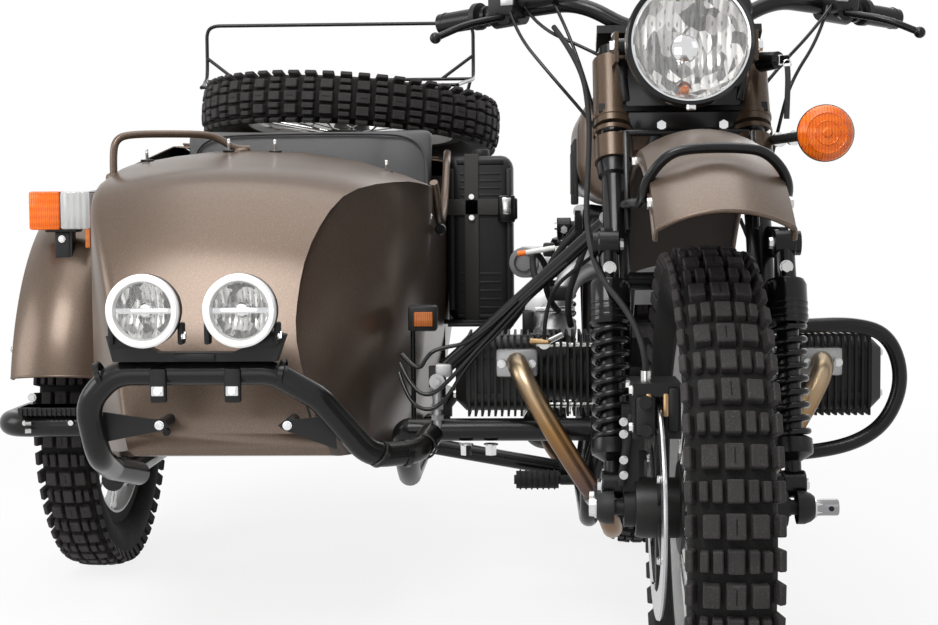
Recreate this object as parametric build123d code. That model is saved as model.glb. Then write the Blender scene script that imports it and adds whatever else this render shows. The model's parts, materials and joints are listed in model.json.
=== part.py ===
from build123d import *
from math import cos, pi, radians, sin, tan
import os

# Sidecar motorcycle: flat twin, leading-link fork, sidecar on the right-hand side of the rider.
# While drawn, x runs to the rider's left, y to the rear and z up, from the ground below the front
# axle. The finished pieces move so that the origin lies on the ground at the middle of the outfit.

# Wheels
wheel_radius = 345.0
tyre_width = 104.0
tread_width = 72.0
lug_pitch = 104.0
lug_depth = 12.0
groove_width = 28.0
rim_radius = 236.0
rim_width = 84.0
rim_wall = 4.0
flange_height = 20.0
bead_clearance = 0.3
hub_radius = 40.0
hub_flange_radius = 62.0
hub_width = 76.0
spoke_diameter = 4.0
spokes_per_side = 18
axle_diameter = 20.0
running_clearance = 0.05
disc_diameter = 295.0
disc_thickness = 5.0
disc_offset = 63.0
wheelbase = 1500.0
track = 1120.0
wheel_lead = 230.0

# Steering head and fork
rake = 28.0
trail = 60.0
leg_lead = 60.0
leg_spacing = 103.0
leg_diameter = 38.0
shroud_diameter = 58.0
shroud_bottom = 806.0
steerer_diameter = 30.0
head_diameter = 54.0
head_bottom = 858.0
head_top = 962.0
yoke_thickness = 14.0
yoke_gap = 2.0
link_spacing = 104.0
link_diameter = 28.0
link_pivot_y = 232.0
link_pivot_z = wheel_radius - 27
front_axle_reach = 130.0
shock_spacing = 120.0
shock_eye_y = 24.0
shock_eye_z = wheel_radius + 27
shock_lug_y = 118.0
shock_lug_z = 690.0
shock_can_diameter = 56.0
spring_diameter = 54.0
spring_wire = 8.0
spring_coils = 8
caliper_height = 72.0
pad_gap = 5.0

# Lamps and controls
headlamp_diameter = 186.0
headlamp_depth = 150.0
headlamp_front = 190.0
headlamp_z = 974.0
lens_diameter = 166.0
lens_thickness = 6.0
bar_diameter = 25.0
bar_z = 1046.0
grip_diameter = 34.0
grip_length = 120.0
bar_half_width = 366.0
lever_reach = 374.0
indicator_diameter = 78.0
indicator_x = 169.0
indicator_y = 60.0
indicator_z = 838.0

# Fenders
front_fender_radius = 499.0
front_fender_width = 164.0
front_fender_back = 52.0
rear_fender_radius = 400.0
rear_fender_width = 164.0
sidecar_fender_radius = 440.0
sidecar_fender_width = 164.0
sheet = 3.0
fender_crown = 28.0
skirt_depth = 18.0
hoop_diameter = 13.0

# Engine and fuel tank
engine_half_width = 104.0
engine_front = 560.0
engine_length = 500.0
engine_bottom = 236.0
engine_height = 290.0
cylinder_y = 650.0
cylinder_z = 461.0
barrel_diameter = 96.0
fin_diameter = 136.0
fin_count = 21
fin_pitch = 11.0
fin_thickness = 4.0
head_reach = 355.0
header_diameter = 34.0
muffler_diameter = 92.0
muffler_length = 620.0
tank_front = 470.0
tank_length = 470.0
tank_width = 302.0
tank_top = 933.0
tank_height = 190.0
frame_tube = 32.0
backbone_tube = 44.0
cradle_spacing = 132.0
rail_spacing = 112.0
rail_z = 730.0
seat_thickness = 62.0
seat_width = 270.0
seat_length = 560.0
seat_front = 960.0

# Sidecar
body_wall = 4.0
cowl_edge = 1000.0
bulkhead_y = 1400.0
boot_start = 1440.0
body_tail = 2060.0
deck_z = 838.0
deck_roll = 3.6
deck_pitch = 5.5
deck_x = -704.0
spare_offset = 55.0
spare_y = 1690.0
spare_rise = 112.0
lid_thickness = 4.0
lid_open_gap = 0.3
sidecar_tube = 42.0
sidecar_rail_z = 278.0
inner_rail_x = -440.0
outer_rail_x = -950.0
front_cross_y = 560.0
front_cross_z = 374.0
bumper_tube = 40.0
guard_tube = 46.0
fog_diameter = 113.0
fog_depth = 84.0
can_width = 137.0
can_depth = 250.0
can_height = 355.0
can_bottom = 496.0
can_front = 1352.0
rack_tube = 9.0

rear_axle_y = wheelbase
side_axle_y = wheelbase - wheel_lead
axle_z = wheel_radius
seat_clearance = 0.3


def rod(start, end, diameter):
    """A round bar between two points."""
    line = Vector(*end) - Vector(*start)
    return Plane(origin=start, z_dir=line) * extrude(Circle(diameter / 2), line.length)


def bent(points, diameter, largest=1000.0):
    """A round bar along straight runs joined by tangent arcs."""
    radii = []
    for before, here, after in zip(points, points[1:], points[2:]):
        first = Vector(*here) - Vector(*before)
        second = Vector(*after) - Vector(*here)
        turn = radians(first.get_angle(second))
        radii.append(min(largest, 0.45 * min(first.length, second.length) / tan(turn / 2)))
    path = FilletPolyline(*points, radius=radii)
    return sweep(Plane(origin=path @ 0, z_dir=path % 0) * Circle(diameter / 2), path=path)


def across(x, y, z):
    """A plane whose normal points along +x, for axles and discs."""
    return Plane(origin=(x, y, z), x_dir=(0, 1, 0), z_dir=(1, 0, 0))


def drum(x_from, x_to, y, z, diameter):
    """A round bar parallel to the axles."""
    return across(x_from, y, z) * extrude(Circle(diameter / 2), x_to - x_from)


def block(x_from, x_to, y_from, y_to, z_from, z_to):
    """A box from its limits."""
    centre = ((x_from + x_to) / 2, (y_from + y_to) / 2, (z_from + z_to) / 2)
    return Pos(*centre) * Box(x_to - x_from, y_to - y_from, z_to - z_from)


def mirrored(shape):
    """The same shape on the other side of the motorcycle."""
    return mirror(shape, about=Plane.YZ)


def tyre():
    """A tyre about the z axis, with crosswise grooves between its lugs."""
    half = tyre_width / 2
    bead = rim_width / 2 - rim_wall - bead_clearance
    seat = rim_radius + bead_clearance
    corners = [(seat, -bead), (rim_radius + flange_height, -bead)]
    corners += [(wheel_radius - 26, -half), (wheel_radius, -tread_width / 2)]
    corners += [(wheel_radius, tread_width / 2), (wheel_radius - 26, half)]
    corners += [(rim_radius + flange_height, bead), (seat, bead)]
    carcass = revolve(Plane.XZ * make_face(Polyline(*corners, close=True)), Axis.Z)
    groove = Pos(wheel_radius, 0, 0) * Box(2 * lug_depth, groove_width, tyre_width + 2)
    lug_count = round(2 * pi * wheel_radius / lug_pitch)
    return carcass - [Rot(0, 0, 360 * index / lug_count) * groove for index in range(lug_count)]


def rim():
    """A wheel's rim, spokes and hub about the z axis, bored for its axle."""
    half = rim_width / 2
    lip = rim_radius + flange_height
    base = rim_radius - rim_wall
    corners = [(base, -half), (lip, -half), (lip, -half + rim_wall), (rim_radius, -half + rim_wall)]
    corners += [(rim_radius, half - rim_wall), (lip, half - rim_wall), (lip, half), (base, half)]
    ring = revolve(Plane.XZ * make_face(Polyline(*corners, close=True)), Axis.Z)
    hub = Cylinder(hub_radius, hub_width)
    flange = Cylinder(hub_flange_radius, 8)
    hub += Pos(0, 0, hub_width / 2 - 8) * flange
    hub += Pos(0, 0, 8 - hub_width / 2) * flange
    spokes = []
    for side in (-1, 1):
        for index in range(spokes_per_side):
            angle = 2 * pi * (index + side / 4) / spokes_per_side
            lean = radians(24) if index % 2 else -radians(24)
            foot_radius = hub_flange_radius - 6
            tip_radius = rim_radius - rim_wall / 2
            foot_z = side * (hub_width / 2 - 8)
            foot = (foot_radius * cos(angle), foot_radius * sin(angle), foot_z)
            tip = (tip_radius * cos(angle + lean), tip_radius * sin(angle + lean), side * 12)
            spokes.append(rod(foot, tip, spoke_diameter))
    wheel = ring + hub + spokes
    return wheel - Cylinder(axle_diameter / 2 + running_clearance, 2 * hub_width)


def sheet_hoop(radius, width, from_angle, to_angle):
    """A fender about the x axis: a crowned sheet with side skirts, angles from the top to the rear."""
    half = width / 2
    outer = [(-half, radius - fender_crown - skirt_depth), (-half, radius - fender_crown), (0, radius)]
    outer += [(half, radius - fender_crown), (half, radius - fender_crown - skirt_depth)]
    inner = [(x - sheet if x > 0 else x + sheet if x < 0 else 0, z - sheet) for x, z in outer[1:-1]]
    low = radius - fender_crown - skirt_depth
    crown = Polyline(outer[0], outer[1]) + ThreePointArc(outer[1], outer[2], outer[3])
    crown += Polyline(outer[3], outer[4], (half - sheet, low), inner[2])
    crown += ThreePointArc(inner[2], inner[1], inner[0])
    crown += Polyline(inner[0], (sheet - half, low), outer[0])
    section = Plane.XZ * make_face(crown)
    start = Rot(-from_angle, 0, 0) * section
    return revolve(start, Axis.X, -(to_angle - from_angle))


def steer_y(z):
    """The steering axis at a height."""
    return z * tan(radians(rake)) - trail


def leg_y(z):
    """A fork leg's centre line at a height."""
    return steer_y(z) - leg_lead / cos(radians(rake))


def on_head(z):
    """A plane square to the steering axis."""
    return Plane(origin=(0, steer_y(z), z), x_dir=(1, 0, 0), z_dir=(0, sin(radians(rake)),
        cos(radians(rake))))


pieces = {}

# Wheels with their tyres
plain_tyre = tyre()
plain_rim = rim()
front_wheel_plane = across(0, 0, axle_z)
rear_wheel_plane = across(0, rear_axle_y, axle_z)
side_wheel_plane = across(-track, side_axle_y, axle_z)
disc = Cylinder(disc_diameter / 2, disc_thickness) - Cylinder(disc_diameter / 2 - 38, disc_thickness)
disc_carrier = Cylinder(disc_diameter / 2 - 38, disc_thickness) - Cylinder(hub_radius, disc_thickness)
for angle in range(0, 360, 60):
    disc_carrier -= Rot(0, 0, angle) * Pos(72, 0, 0) * Cylinder(16, disc_thickness)
disc_stack = Pos(0, 0, -disc_offset) * (disc + disc_carrier)
nose_length = disc_offset + disc_thickness / 2 - hub_width / 2
nose = Pos(0, 0, -hub_width / 2 - nose_length / 2) * Cylinder(hub_radius, nose_length)
nose -= Cylinder(axle_diameter / 2 + running_clearance, 4 * hub_width)
front_rim = plain_rim + nose + disc_stack
pieces["front_tyre"] = front_wheel_plane * plain_tyre
pieces["front_rim"] = front_wheel_plane * front_rim
pieces["rear_tyre"] = rear_wheel_plane * plain_tyre
pieces["rear_rim"] = rear_wheel_plane * plain_rim
pieces["sidecar_tyre"] = side_wheel_plane * plain_tyre
pieces["sidecar_rim"] = side_wheel_plane * plain_rim

# Fork: yokes, steerer, legs bent back to the link pivots
lower_yoke_z = head_bottom - yoke_gap - yoke_thickness / 2
upper_yoke_z = head_top + yoke_gap + yoke_thickness / 2
yoke_plan = Circle(head_diameter / 2) + Pos(0, -leg_lead) * Rectangle(2 * leg_spacing + 44, 52)
yoke_plan += Pos(0, -leg_lead / 2) * Rectangle(head_diameter, leg_lead)
yoke = extrude(yoke_plan, yoke_thickness / 2, both=True)
fork = on_head(lower_yoke_z) * yoke + on_head(upper_yoke_z) * yoke
steerer_from = (0, steer_y(lower_yoke_z), lower_yoke_z)
steerer_to = (0, steer_y(upper_yoke_z), upper_yoke_z)
fork += rod(steerer_from, steerer_to, steerer_diameter)
leg_top_z = upper_yoke_z + 10
knee_z = 640.0
leg_points = [(leg_spacing, leg_y(leg_top_z), leg_top_z), (leg_spacing, leg_y(knee_z), knee_z)]
leg_points += [(link_spacing, link_pivot_y - 6, link_pivot_z + 152), (link_spacing, link_pivot_y,
    link_pivot_z)]
leg = bent(leg_points, leg_diameter, 260)
leg += drum(link_spacing - 20, link_spacing + 20, link_pivot_y, link_pivot_z, 46)
lug_plate = block(shock_spacing - 6, shock_spacing + 6, shock_lug_y, leg_y(shock_lug_z), 668, 712)
leg += lug_plate + drum(shock_spacing - 14, shock_spacing + 22, shock_lug_y, shock_lug_z, 34)
brace_z = 612.0
brace_y = leg_y(knee_z) + 8
fork += leg + mirrored(leg)
fork += drum(-leg_spacing, leg_spacing, brace_y + 4, brace_z + 22, 26)
pieces["fork"] = fork

# Upper shrouds, the plate between them and the lamp ears
shroud_low = (leg_spacing, leg_y(shroud_bottom), shroud_bottom)
shroud_high = (leg_spacing, leg_y(lower_yoke_z - 10), lower_yoke_z - 10)
upper_low = (leg_spacing, leg_y(lower_yoke_z + 10), lower_yoke_z + 10)
upper_high = (leg_spacing, leg_y(upper_yoke_z - 10), upper_yoke_z - 10)
shroud = rod(upper_low, upper_high, shroud_diameter) + rod(shroud_low, shroud_high, shroud_diameter)
ear = block(leg_spacing - 5, leg_spacing + 1, headlamp_front + 70, leg_y(headlamp_z),
    headlamp_z - 22, headlamp_z + 22)
shroud = (shroud + ear) - pieces["fork"]
pieces["fork_shrouds"] = shroud + mirrored(shroud)

# Headlamp: a bucket with its rim, and the lens
lamp_plane = Plane(origin=(0, headlamp_front, headlamp_z), x_dir=(1, 0, 0), z_dir=(0, 1, 0))
bucket = extrude(Circle(headlamp_diameter / 2), 22)
bucket += Pos(0, 0, 22) * extrude(Circle(headlamp_diameter / 2 - 5), headlamp_depth - 62)
bucket += Pos(0, 0, headlamp_depth - 40) * extrude(Circle(headlamp_diameter / 2 - 5), 40, taper=32)
bucket += Pos(0, 0, 80) * Rot(0, 90, 0) * Cylinder(10, 2 * leg_spacing - 10)
bucket -= Pos(0, 0, 22 + 4) * extrude(Circle(headlamp_diameter / 2 - 12), headlamp_depth - 80)
bucket -= extrude(Circle(lens_diameter / 2 + seat_clearance), lens_thickness + 1.3)
pieces["headlamp"] = lamp_plane * bucket - pieces["fork_shrouds"] - pieces["fork"]
pieces["headlamp_lens"] = lamp_plane * Pos(0, 0, 1) * extrude(Circle(lens_diameter / 2), lens_thickness)

# Handlebar with grips, switch housings and levers
bar_points = [(0, 421, 1012), (70, 422, 1014), (150, 440, bar_z + 14), (250, 520, bar_z + 10)]
bar_points += [(bar_half_width - 4, 590, bar_z)]
bar = bent(bar_points, bar_diameter, 160)
grip_dir = (Vector(*bar_points[4]) - Vector(*bar_points[3])).normalized()
grip_end = Vector(*bar_points[4])
grip_start = grip_end - grip_dir * (grip_length - 40)
grip = rod(tuple(grip_start), tuple(grip_end + grip_dir * 14), grip_diameter)
yoke_top = on_head(upper_yoke_z)
riser_foot = yoke_top.from_local_coords((44, 10 - leg_lead, 0))
riser_head = yoke_top.from_local_coords((44, 10 - leg_lead, 26))
riser = rod(tuple(riser_foot), tuple(riser_head), 26)
half_bar = bar + grip + riser
handlebar = half_bar + mirrored(half_bar) - pieces["fork"] - pieces["headlamp"]
pieces["handlebar"] = handlebar

perch_at = grip_start - grip_dir * 40
perch = rod(tuple(perch_at - grip_dir * 26), tuple(perch_at + grip_dir * 26), 46)
perch += rod(tuple(perch_at), tuple(perch_at + Vector(10, -46, -12)), 24)
lever_root = perch_at + Vector(10, -46, -12)
lever_tip = Vector(lever_reach, 430, 1006)
lever_mid = (lever_root + lever_tip) * 0.5 + Vector(6, -16, 2)
lever = bent([tuple(lever_root), tuple(lever_mid), tuple(lever_tip)], 11)
lever += Pos(*lever_tip) * Sphere(9)
mirror_boss = rod(tuple(perch_at + Vector(0, 0, 12)), tuple(perch_at + Vector(0, 0, 38)), 20)
mirror_hole = rod(tuple(perch_at + Vector(0, 0, 24)), tuple(perch_at + Vector(0, 0, 60)), 10)
control = perch + lever + mirror_boss - mirror_hole
controls = control + mirrored(control)
pieces["bar_controls"] = controls - pieces["handlebar"]

# Front fender, its tube hoop and stays
fender_centre_y = 60.0
fender_plane = Pos(0, fender_centre_y, axle_z)
front_fender = fender_plane * sheet_hoop(front_fender_radius, front_fender_width, -38.4, front_fender_back)
pieces["front_fender"] = front_fender
hoop_y = -150.0
hoop_x = front_fender_width / 2 + 10
stay_z = 736.0
half_hoop = [(hoop_x, leg_y(stay_z) - 8, stay_z), (hoop_x, hoop_y + 32, stay_z + 2), (hoop_x - 4,
    hoop_y, 772)]
half_hoop += [(52, hoop_y - 4, 806)]
hoop = bent(half_hoop + [(-x, y, z) for x, y, z in reversed(half_hoop)], hoop_diameter, 60)
for side in (-1, 1):
    hoop += drum(min(side * front_fender_width / 2, side * hoop_x),
        max(side * front_fender_width / 2, side * hoop_x), hoop_y + 10, 760, 12)
pieces["fender_hoop"] = hoop - pieces["fork"] - pieces["front_fender"]

# Front springs and link arm with the axle and the brake caliper
link = rod((link_spacing, link_pivot_y - 24, link_pivot_z + 3), (link_spacing, 0, axle_z), link_diameter)
link += drum(link_spacing - 16, shock_spacing - 13, 0, axle_z, 50)
link += block(link_spacing - 8, shock_spacing - 13, shock_eye_y - 14, shock_eye_y + 14, axle_z,
    shock_eye_z + 12)
link_arm = link + mirrored(link) + drum(-front_axle_reach, front_axle_reach, 0, axle_z, axle_diameter)
link_arm = link_arm - pieces["fork"]
caliper_x = -disc_offset
caliper_z = axle_z + disc_diameter / 2 - 14
caliper = block(caliper_x - 34, caliper_x + 28, -46, 46, caliper_z - caliper_height / 2,
    caliper_z + caliper_height / 2)
slot_half = disc_thickness / 2 + pad_gap
caliper -= block(caliper_x - slot_half, caliper_x + slot_half, -60, 60, 0,
    axle_z + disc_diameter / 2 + pad_gap)
caliper += block(-link_spacing - 4, caliper_x - 24, -10, 40, axle_z + 20, caliper_z)
link_arm += caliper
pieces["link_arm"] = link_arm

shock_low = Vector(shock_spacing, shock_eye_y, shock_eye_z)
shock_high = Vector(shock_spacing, shock_lug_y, shock_lug_z)


def shock(low, high, can_diameter, coil_diameter, can_share):
    """A spring unit between two eyes, turned about its line: lower cup, coils, upper can."""
    line = high - low
    reach = line.length
    core = coil_diameter / 2 - spring_wire
    cup_top = 66.0
    can_start = reach * (1 - can_share)
    pitch = (can_start - cup_top) / spring_coils
    profile = [(0, 10), (12, 10), (12, 46), (coil_diameter / 2, 50), (coil_diameter / 2, cup_top)]
    for index in range(spring_coils):
        foot = cup_top + pitch * index
        profile += [(core, foot + 1), (core, foot + pitch / 2 - 3), (coil_diameter / 2,
            foot + pitch / 2 - 1)]
        profile += [(coil_diameter / 2, foot + pitch / 2 + 4), (core, foot + pitch / 2 + 6)]
    profile += [(core, can_start), (can_diameter / 2, can_start), (can_diameter / 2, reach - 26)]
    profile += [(12, reach - 20), (12, reach - 10), (0, reach - 10)]
    unit = revolve(Plane.XZ * make_face(Polyline(*profile, close=True)), Axis.Z)
    unit = Plane(origin=low, z_dir=line) * unit
    return unit + drum(low.X - 13, low.X + 13, low.Y, low.Z, 38) + drum(high.X - 13, high.X + 13,
        high.Y, high.Z, 36)


front_shocks = shock(shock_low, shock_high, shock_can_diameter, spring_diameter, 0.26)
shock_low = Vector(-shock_spacing, shock_eye_y, shock_eye_z)
shock_high = Vector(-shock_spacing, shock_lug_y, shock_lug_z)
front_shocks += shock(shock_low, shock_high, shock_can_diameter, spring_diameter, 0.26)
pieces["front_shocks"] = front_shocks - pieces["fork"] - pieces["link_arm"]

# Left turn indicator on its stem
stem = rod((leg_spacing + 26, leg_y(indicator_z) - 6, indicator_z), (indicator_x, indicator_y + 40,
    indicator_z), 14)
lamp = Plane(origin=(indicator_x, indicator_y, indicator_z), x_dir=(1, 0, 0), z_dir=(0, 1, 0))
lamp = lamp * extrude(Circle(indicator_diameter / 2), 46, taper=8)
indicator = stem + lamp - pieces["fork_shrouds"] - pieces["fork"]
pieces["front_indicator"] = indicator

# Main frame
head_from = (0, steer_y(head_bottom), head_bottom)
head_to = (0, steer_y(head_top), head_top)
down_x = 70.0
frame = rod(head_from, head_to, head_diameter)
backbone_end = (0, seat_front + 40, 711)
frame += rod((0, steer_y(head_bottom + 26) + 14, head_bottom + 18), backbone_end, backbone_tube)
pivot_y = 1092.0
cradle = [(18, steer_y(head_bottom) + 36, head_bottom + 20), (down_x, 500, 680), (down_x + 14, 520, 470)]
cradle += [(cradle_spacing, 540, 300), (cradle_spacing, 584, 216), (cradle_spacing, 1030, 216)]
cradle += [(rail_spacing, pivot_y, 330), (rail_spacing, 1010, rail_z)]
half_frame = bent(cradle, frame_tube, 120)
half_frame += rod((8, seat_front + 24, 716), (rail_spacing, 1010, rail_z), frame_tube)
half_frame += rod((rail_spacing, 1006, rail_z), (rail_spacing, 1720, rail_z), frame_tube)
half_frame += block(rear_fender_width / 2, rail_spacing, 1588, 1612, 684, rail_z - 8)
half_frame += rod((rail_spacing, pivot_y - 4, 376), (rail_spacing, 1430, 725), 26)
shock_x = 156.0
half_frame += drum(rail_spacing, shock_x - 13, 1400, 700, 22)
frame += half_frame + mirrored(half_frame)
frame += drum(-rail_spacing, rail_spacing, 1700, rail_z + 2, 24)
for pad_y in (640, 940):
    frame += block(-cradle_spacing, cradle_spacing, pad_y, pad_y + 40, 212, engine_bottom)
frame += drum(-down_x - 14, down_x + 14, 520, 470, frame_tube)
frame += drum(-rail_spacing - 12, rail_spacing + 12, pivot_y, axle_z, 44)
frame -= rod((0, steer_y(head_bottom - 30), head_bottom - 30), (0, steer_y(head_top + 30),
    head_top + 30), steerer_diameter + 2 * running_clearance)
pieces["frame"] = frame

# Engine: crankcase and gearbox as one block, then cylinders with fins and heads
engine_back = engine_front + engine_length
engine_top = engine_bottom + engine_height
engine = block(-engine_half_width, engine_half_width, engine_front, engine_back - 150,
    engine_bottom, engine_top)
engine += block(-engine_half_width + 18, engine_half_width - 18, engine_back - 150, engine_back,
    engine_bottom + 50, engine_top - 60)
engine += Plane(origin=(0, engine_front, cylinder_z - 90), z_dir=(0, -1, 0)) * extrude(Circle(48), 20)
pieces["engine_block"] = engine

barrel_start = engine_half_width
barrel = drum(barrel_start, head_reach - 20, cylinder_y, cylinder_z, barrel_diameter)
for index in range(fin_count):
    fin_x = barrel_start + 6 + index * fin_pitch
    barrel += block(fin_x, fin_x + fin_thickness, cylinder_y - fin_diameter / 2,
        cylinder_y + fin_diameter / 2, cylinder_z - fin_diameter / 2, cylinder_z + fin_diameter / 2)
head_start = barrel_start + 118
head_half = fin_diameter / 2 - 7
head_box = block(head_start, head_reach, cylinder_y - head_half, cylinder_y + head_half,
    cylinder_z - head_half, cylinder_z + head_half)
head_box = fillet(head_box.edges().filter_by(Axis.X), 22)
head_box = chamfer(head_box.faces().sort_by(Axis.X)[-1].edges(), 18)
barrel += head_box
cylinders = barrel + mirrored(barrel)
pieces["cylinders"] = cylinders

# Intake: throttle bodies behind the cylinders, joined to the air box
inlet_y = cylinder_y + fin_diameter / 2
runner = bent([(200, inlet_y + 5, cylinder_z + 30), (200, 790, 530), (150, 880, 620), (70, 930,
    640)], 44, 90)
runner += block(170, 230, inlet_y, inlet_y + 12, cylinder_z + 2, cylinder_z + 60)
runner -= block(150, 250, inlet_y - 60, inlet_y, cylinder_z - 40, cylinder_z + 100)
throttle = rod((200, 760, 506), (182, 822, 560), 66)
intake = runner + throttle
air_box = block(-95, 95, 900, 990, 560, 690)
air_cover = drum(-245, -90, 905, 640, 58)
pieces["intake"] = air_box + air_cover + intake + mirrored(intake)

# Exhaust: headers from the heads, swept under the engine to a muffler each side
port_y = cylinder_y - fin_diameter / 2
header_points = [(252, port_y - 5, 484), (248, 528, 478), (190, 500, 374), (132, 502, 284), (134, 522, 194)]
header_points += [(160, 650, 150), (172, 1040, 158), (196, 1170, 236), (200, 1240, 296)]
header = bent(header_points, header_diameter, 90)
flange = block(226, 278, port_y - 10, port_y, 458, 508)
muffler_start = (200, 1220, 290)
muffler_end = (200, 1220 + muffler_length, 330)
muffler = rod(muffler_start, muffler_end, muffler_diameter)
exhaust = header + muffler + flange
pieces["exhausts"] = exhaust + mirrored(exhaust)

# Fuel tank over the backbone, with its filler cap
half_tank = tank_width / 2
tank_bottom = tank_top - tank_height
tank = block(-half_tank, half_tank, tank_front, tank_front + tank_length, tank_bottom, tank_top)
tank = fillet(tank.edges().filter_by(Axis.Y), 70)
tank = fillet(tank.edges().group_by(Axis.Y)[0], 40)
tank -= block(-34, 34, tank_front - 40, tank_front + tank_length + 40, tank_bottom - 40, tank_bottom + 158)
tank -= block(-96, 96, tank_front - 40, tank_front + 66, tank_bottom - 40, tank_bottom + 88)
tank -= rod((0, steer_y(700), 700), (0, steer_y(1100), 1100), 150)
tank += Pos(0, tank_front + 190, tank_top) * Cylinder(34, 22)
pieces["fuel_tank"] = tank

# Seat, rear fender, lamps, footpegs
seat_bottom = rail_z + frame_tube / 2 + seat_clearance
seat = block(-seat_width / 2, seat_width / 2, seat_front, seat_front + seat_length, seat_bottom,
    seat_bottom + seat_thickness)
seat = fillet(seat.edges().group_by(Axis.Z)[-1], 24)
pieces["seat"] = seat
rear_fender = Pos(0, rear_axle_y, axle_z) * sheet_hoop(rear_fender_radius, rear_fender_width, -30, 96)
pieces["rear_fender"] = rear_fender

# Swing arm with the final drive, and the rear springs
arm_x = 96.0
drive_diameter = 150.0
arm = rod((arm_x, pivot_y + 22.3, axle_z), (arm_x, rear_axle_y, axle_z), 34)
arm += drum(arm_x - 14, arm_x + 14, rear_axle_y, axle_z, 54)
swingarm = arm + mirrored(arm) + drum(-arm_x - 24, arm_x + 24, rear_axle_y, axle_z, axle_diameter)
swingarm += drum(-arm_x - 34, -arm_x + 30, rear_axle_y, axle_z, drive_diameter)
swingarm += drum(-arm_x - 14, arm_x + 14, pivot_y + 36, axle_z, 26)
for side in (-1, 1):
    inner, outer = sorted((side * (arm_x - 6), side * (shock_x - 13)))
    swingarm += drum(inner, outer, rear_axle_y - 60, axle_z + 27, 22)
pieces["swingarm"] = swingarm
rear_low = Vector(shock_x, rear_axle_y - 60, axle_z + 27)
rear_high = Vector(shock_x, 1400, 700)
rear_shock = shock(rear_low, rear_high, shock_can_diameter, spring_diameter, 0.3)
rear_low = Vector(-shock_x, rear_axle_y - 60, axle_z + 27)
rear_high = Vector(-shock_x, 1400, 700)
pieces["rear_shocks"] = rear_shock + shock(rear_low, rear_high, shock_can_diameter, spring_diameter, 0.3)

# Crash bar round the left cylinder, and one low on each side for the pegs
crash_bar = bent([(96, 514, 543), (300, 520, 545), (358, 524, 500), (358, 524, 420), (310, 526,
    372), (140.5, 537, 332)], 24, 60)
pieces["crash_bar"] = crash_bar
peg = drum(cradle_spacing + 16, 262, 1010, 216, 18) + drum(176, 258, 1010, 216, 34)
pieces["footpegs"] = peg + mirrored(peg)

# Sidecar body from sections along its length: left side, crown and right shoulder
columns = ("y", "left", "left_z", "crown", "crown_z", "right", "right_z", "waist", "waist_z", "low",
    "low_z")
rows = [
    (492, -890, 376, -740, 380, -570, 376, -560, 360, -552, 342),
    (530, -913, 505, -760, 520, -611, 512, -585, 430, -546, 335),
    (570, -935, 588, -770, 604, -615, 596, -578, 460, -540, 330),
    (620, -962, 668, -780, 690, -600, 680, -556, 490, -530, 325),
    (720, -1000, 766, -780, 790, -551, 765, -508, 520, -512, 318),
    (850, -1006, 806, -770, 825, -464, 790, -456, 545, -490, 308),
    (1000, -1006, 828, -763, 855, -413, 782, -424, 565, -470, 306),
    (1420, -1006, 0, -740, 0, -405, 0, -405, 570, -440, 306),
    (1780, -1004, 0, -720, 0, -405, 0, -405, 580, -440, 320),
    (2060, -975, 0, -710, 0, -435, 0, -430, 620, -460, 430),
]


def deck_height(x, y):
    """The boot's sloping top at a place."""
    return deck_z - (x - deck_x) * tan(radians(deck_roll)) - (y - spare_y) * tan(radians(deck_pitch))


stations = []
for row in rows:
    at = dict(zip(columns, row))
    for name in ("left", "crown", "right"):
        if at[name + "_z"] == 0:
            at[name + "_z"] = deck_height(at[name], at["y"])
    stations.append(at)


def station_at(y):
    """The body's section at any place along it."""
    for before, after in zip(stations, stations[1:]):
        if before["y"] <= y <= after["y"]:
            share = (y - before["y"]) / (after["y"] - before["y"])
            return {name: before[name] + (after[name] - before[name]) * share for name in columns}
    return stations[-1]


def body_section(at, inset):
    """One section of the sidecar body, moved inwards by an inset."""
    outline = [(at["left"] + 14, at["low_z"]), (at["left"], at["low_z"] + 26), (at["left"], at["left_z"])]
    outline += [(at["crown"], at["crown_z"]), (at["right"], at["right_z"])]
    outline += [(at["waist"], at["waist_z"]), (at["low"], at["low_z"])]
    section = make_face(Polyline(*outline, close=True))
    if inset:
        section = offset(section, -inset, kind=Kind.INTERSECTION)
    return Pos(0, at["y"], 0) * Rot(90, 0, 0) * section


def body_run(y_from, y_to, inset):
    """The body between two places along it."""
    between = [at for at in stations if y_from < at["y"] < y_to]
    run = [station_at(y_from)] + between + [station_at(y_to)]
    return loft([body_section(at, inset) for at in run], ruled=True)


outer_body = body_run(rows[0][0], body_tail, 0)
cockpit = body_run(rows[1][0] + 4, bulkhead_y, body_wall)
boot = body_run(bulkhead_y + body_wall, body_tail - body_wall, body_wall)
body = outer_body - cockpit - boot
body -= block(-990, -425, cowl_edge, bulkhead_y - 16, 620, 1000)
boot_left = -975.0
boot_right = -440.0
boot_back = 2008.0
body -= block(boot_left, boot_right, boot_start, boot_back, 700, 1000)
dip = [(cowl_edge + 12, 806), (cowl_edge + 46, 728), (cowl_edge + 104, 716), (1236, 758), (1336, 846)]
dip_outline = Polyline(*dip, (1336, 1000), (cowl_edge + 12, 1000), close=True)
body -= Plane(origin=(-480, 0, 0), x_dir=(0, 1, 0), z_dir=(1, 0, 0)) * extrude(make_face(dip_outline), 110)
body += block(-1004, -462, cowl_edge + 40, 1310, 414, 419)
pieces["sidecar_body"] = body

# Sidecar cushion and back rest
cushion = fillet(block(-985, -465, cowl_edge + 44, 1262, 419, 540).edges().group_by(Axis.Z)[-1], 22)
back_outline = [(1266, 419), (1326, 419), (1348, 908), (1300, 908)]
back = Plane(origin=(-960, 0, 0), x_dir=(0, 1, 0), z_dir=(1, 0,
    0)) * extrude(make_face(Polyline(*back_outline, close=True)), 512)
pieces["sidecar_seat"] = cushion + back

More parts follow.
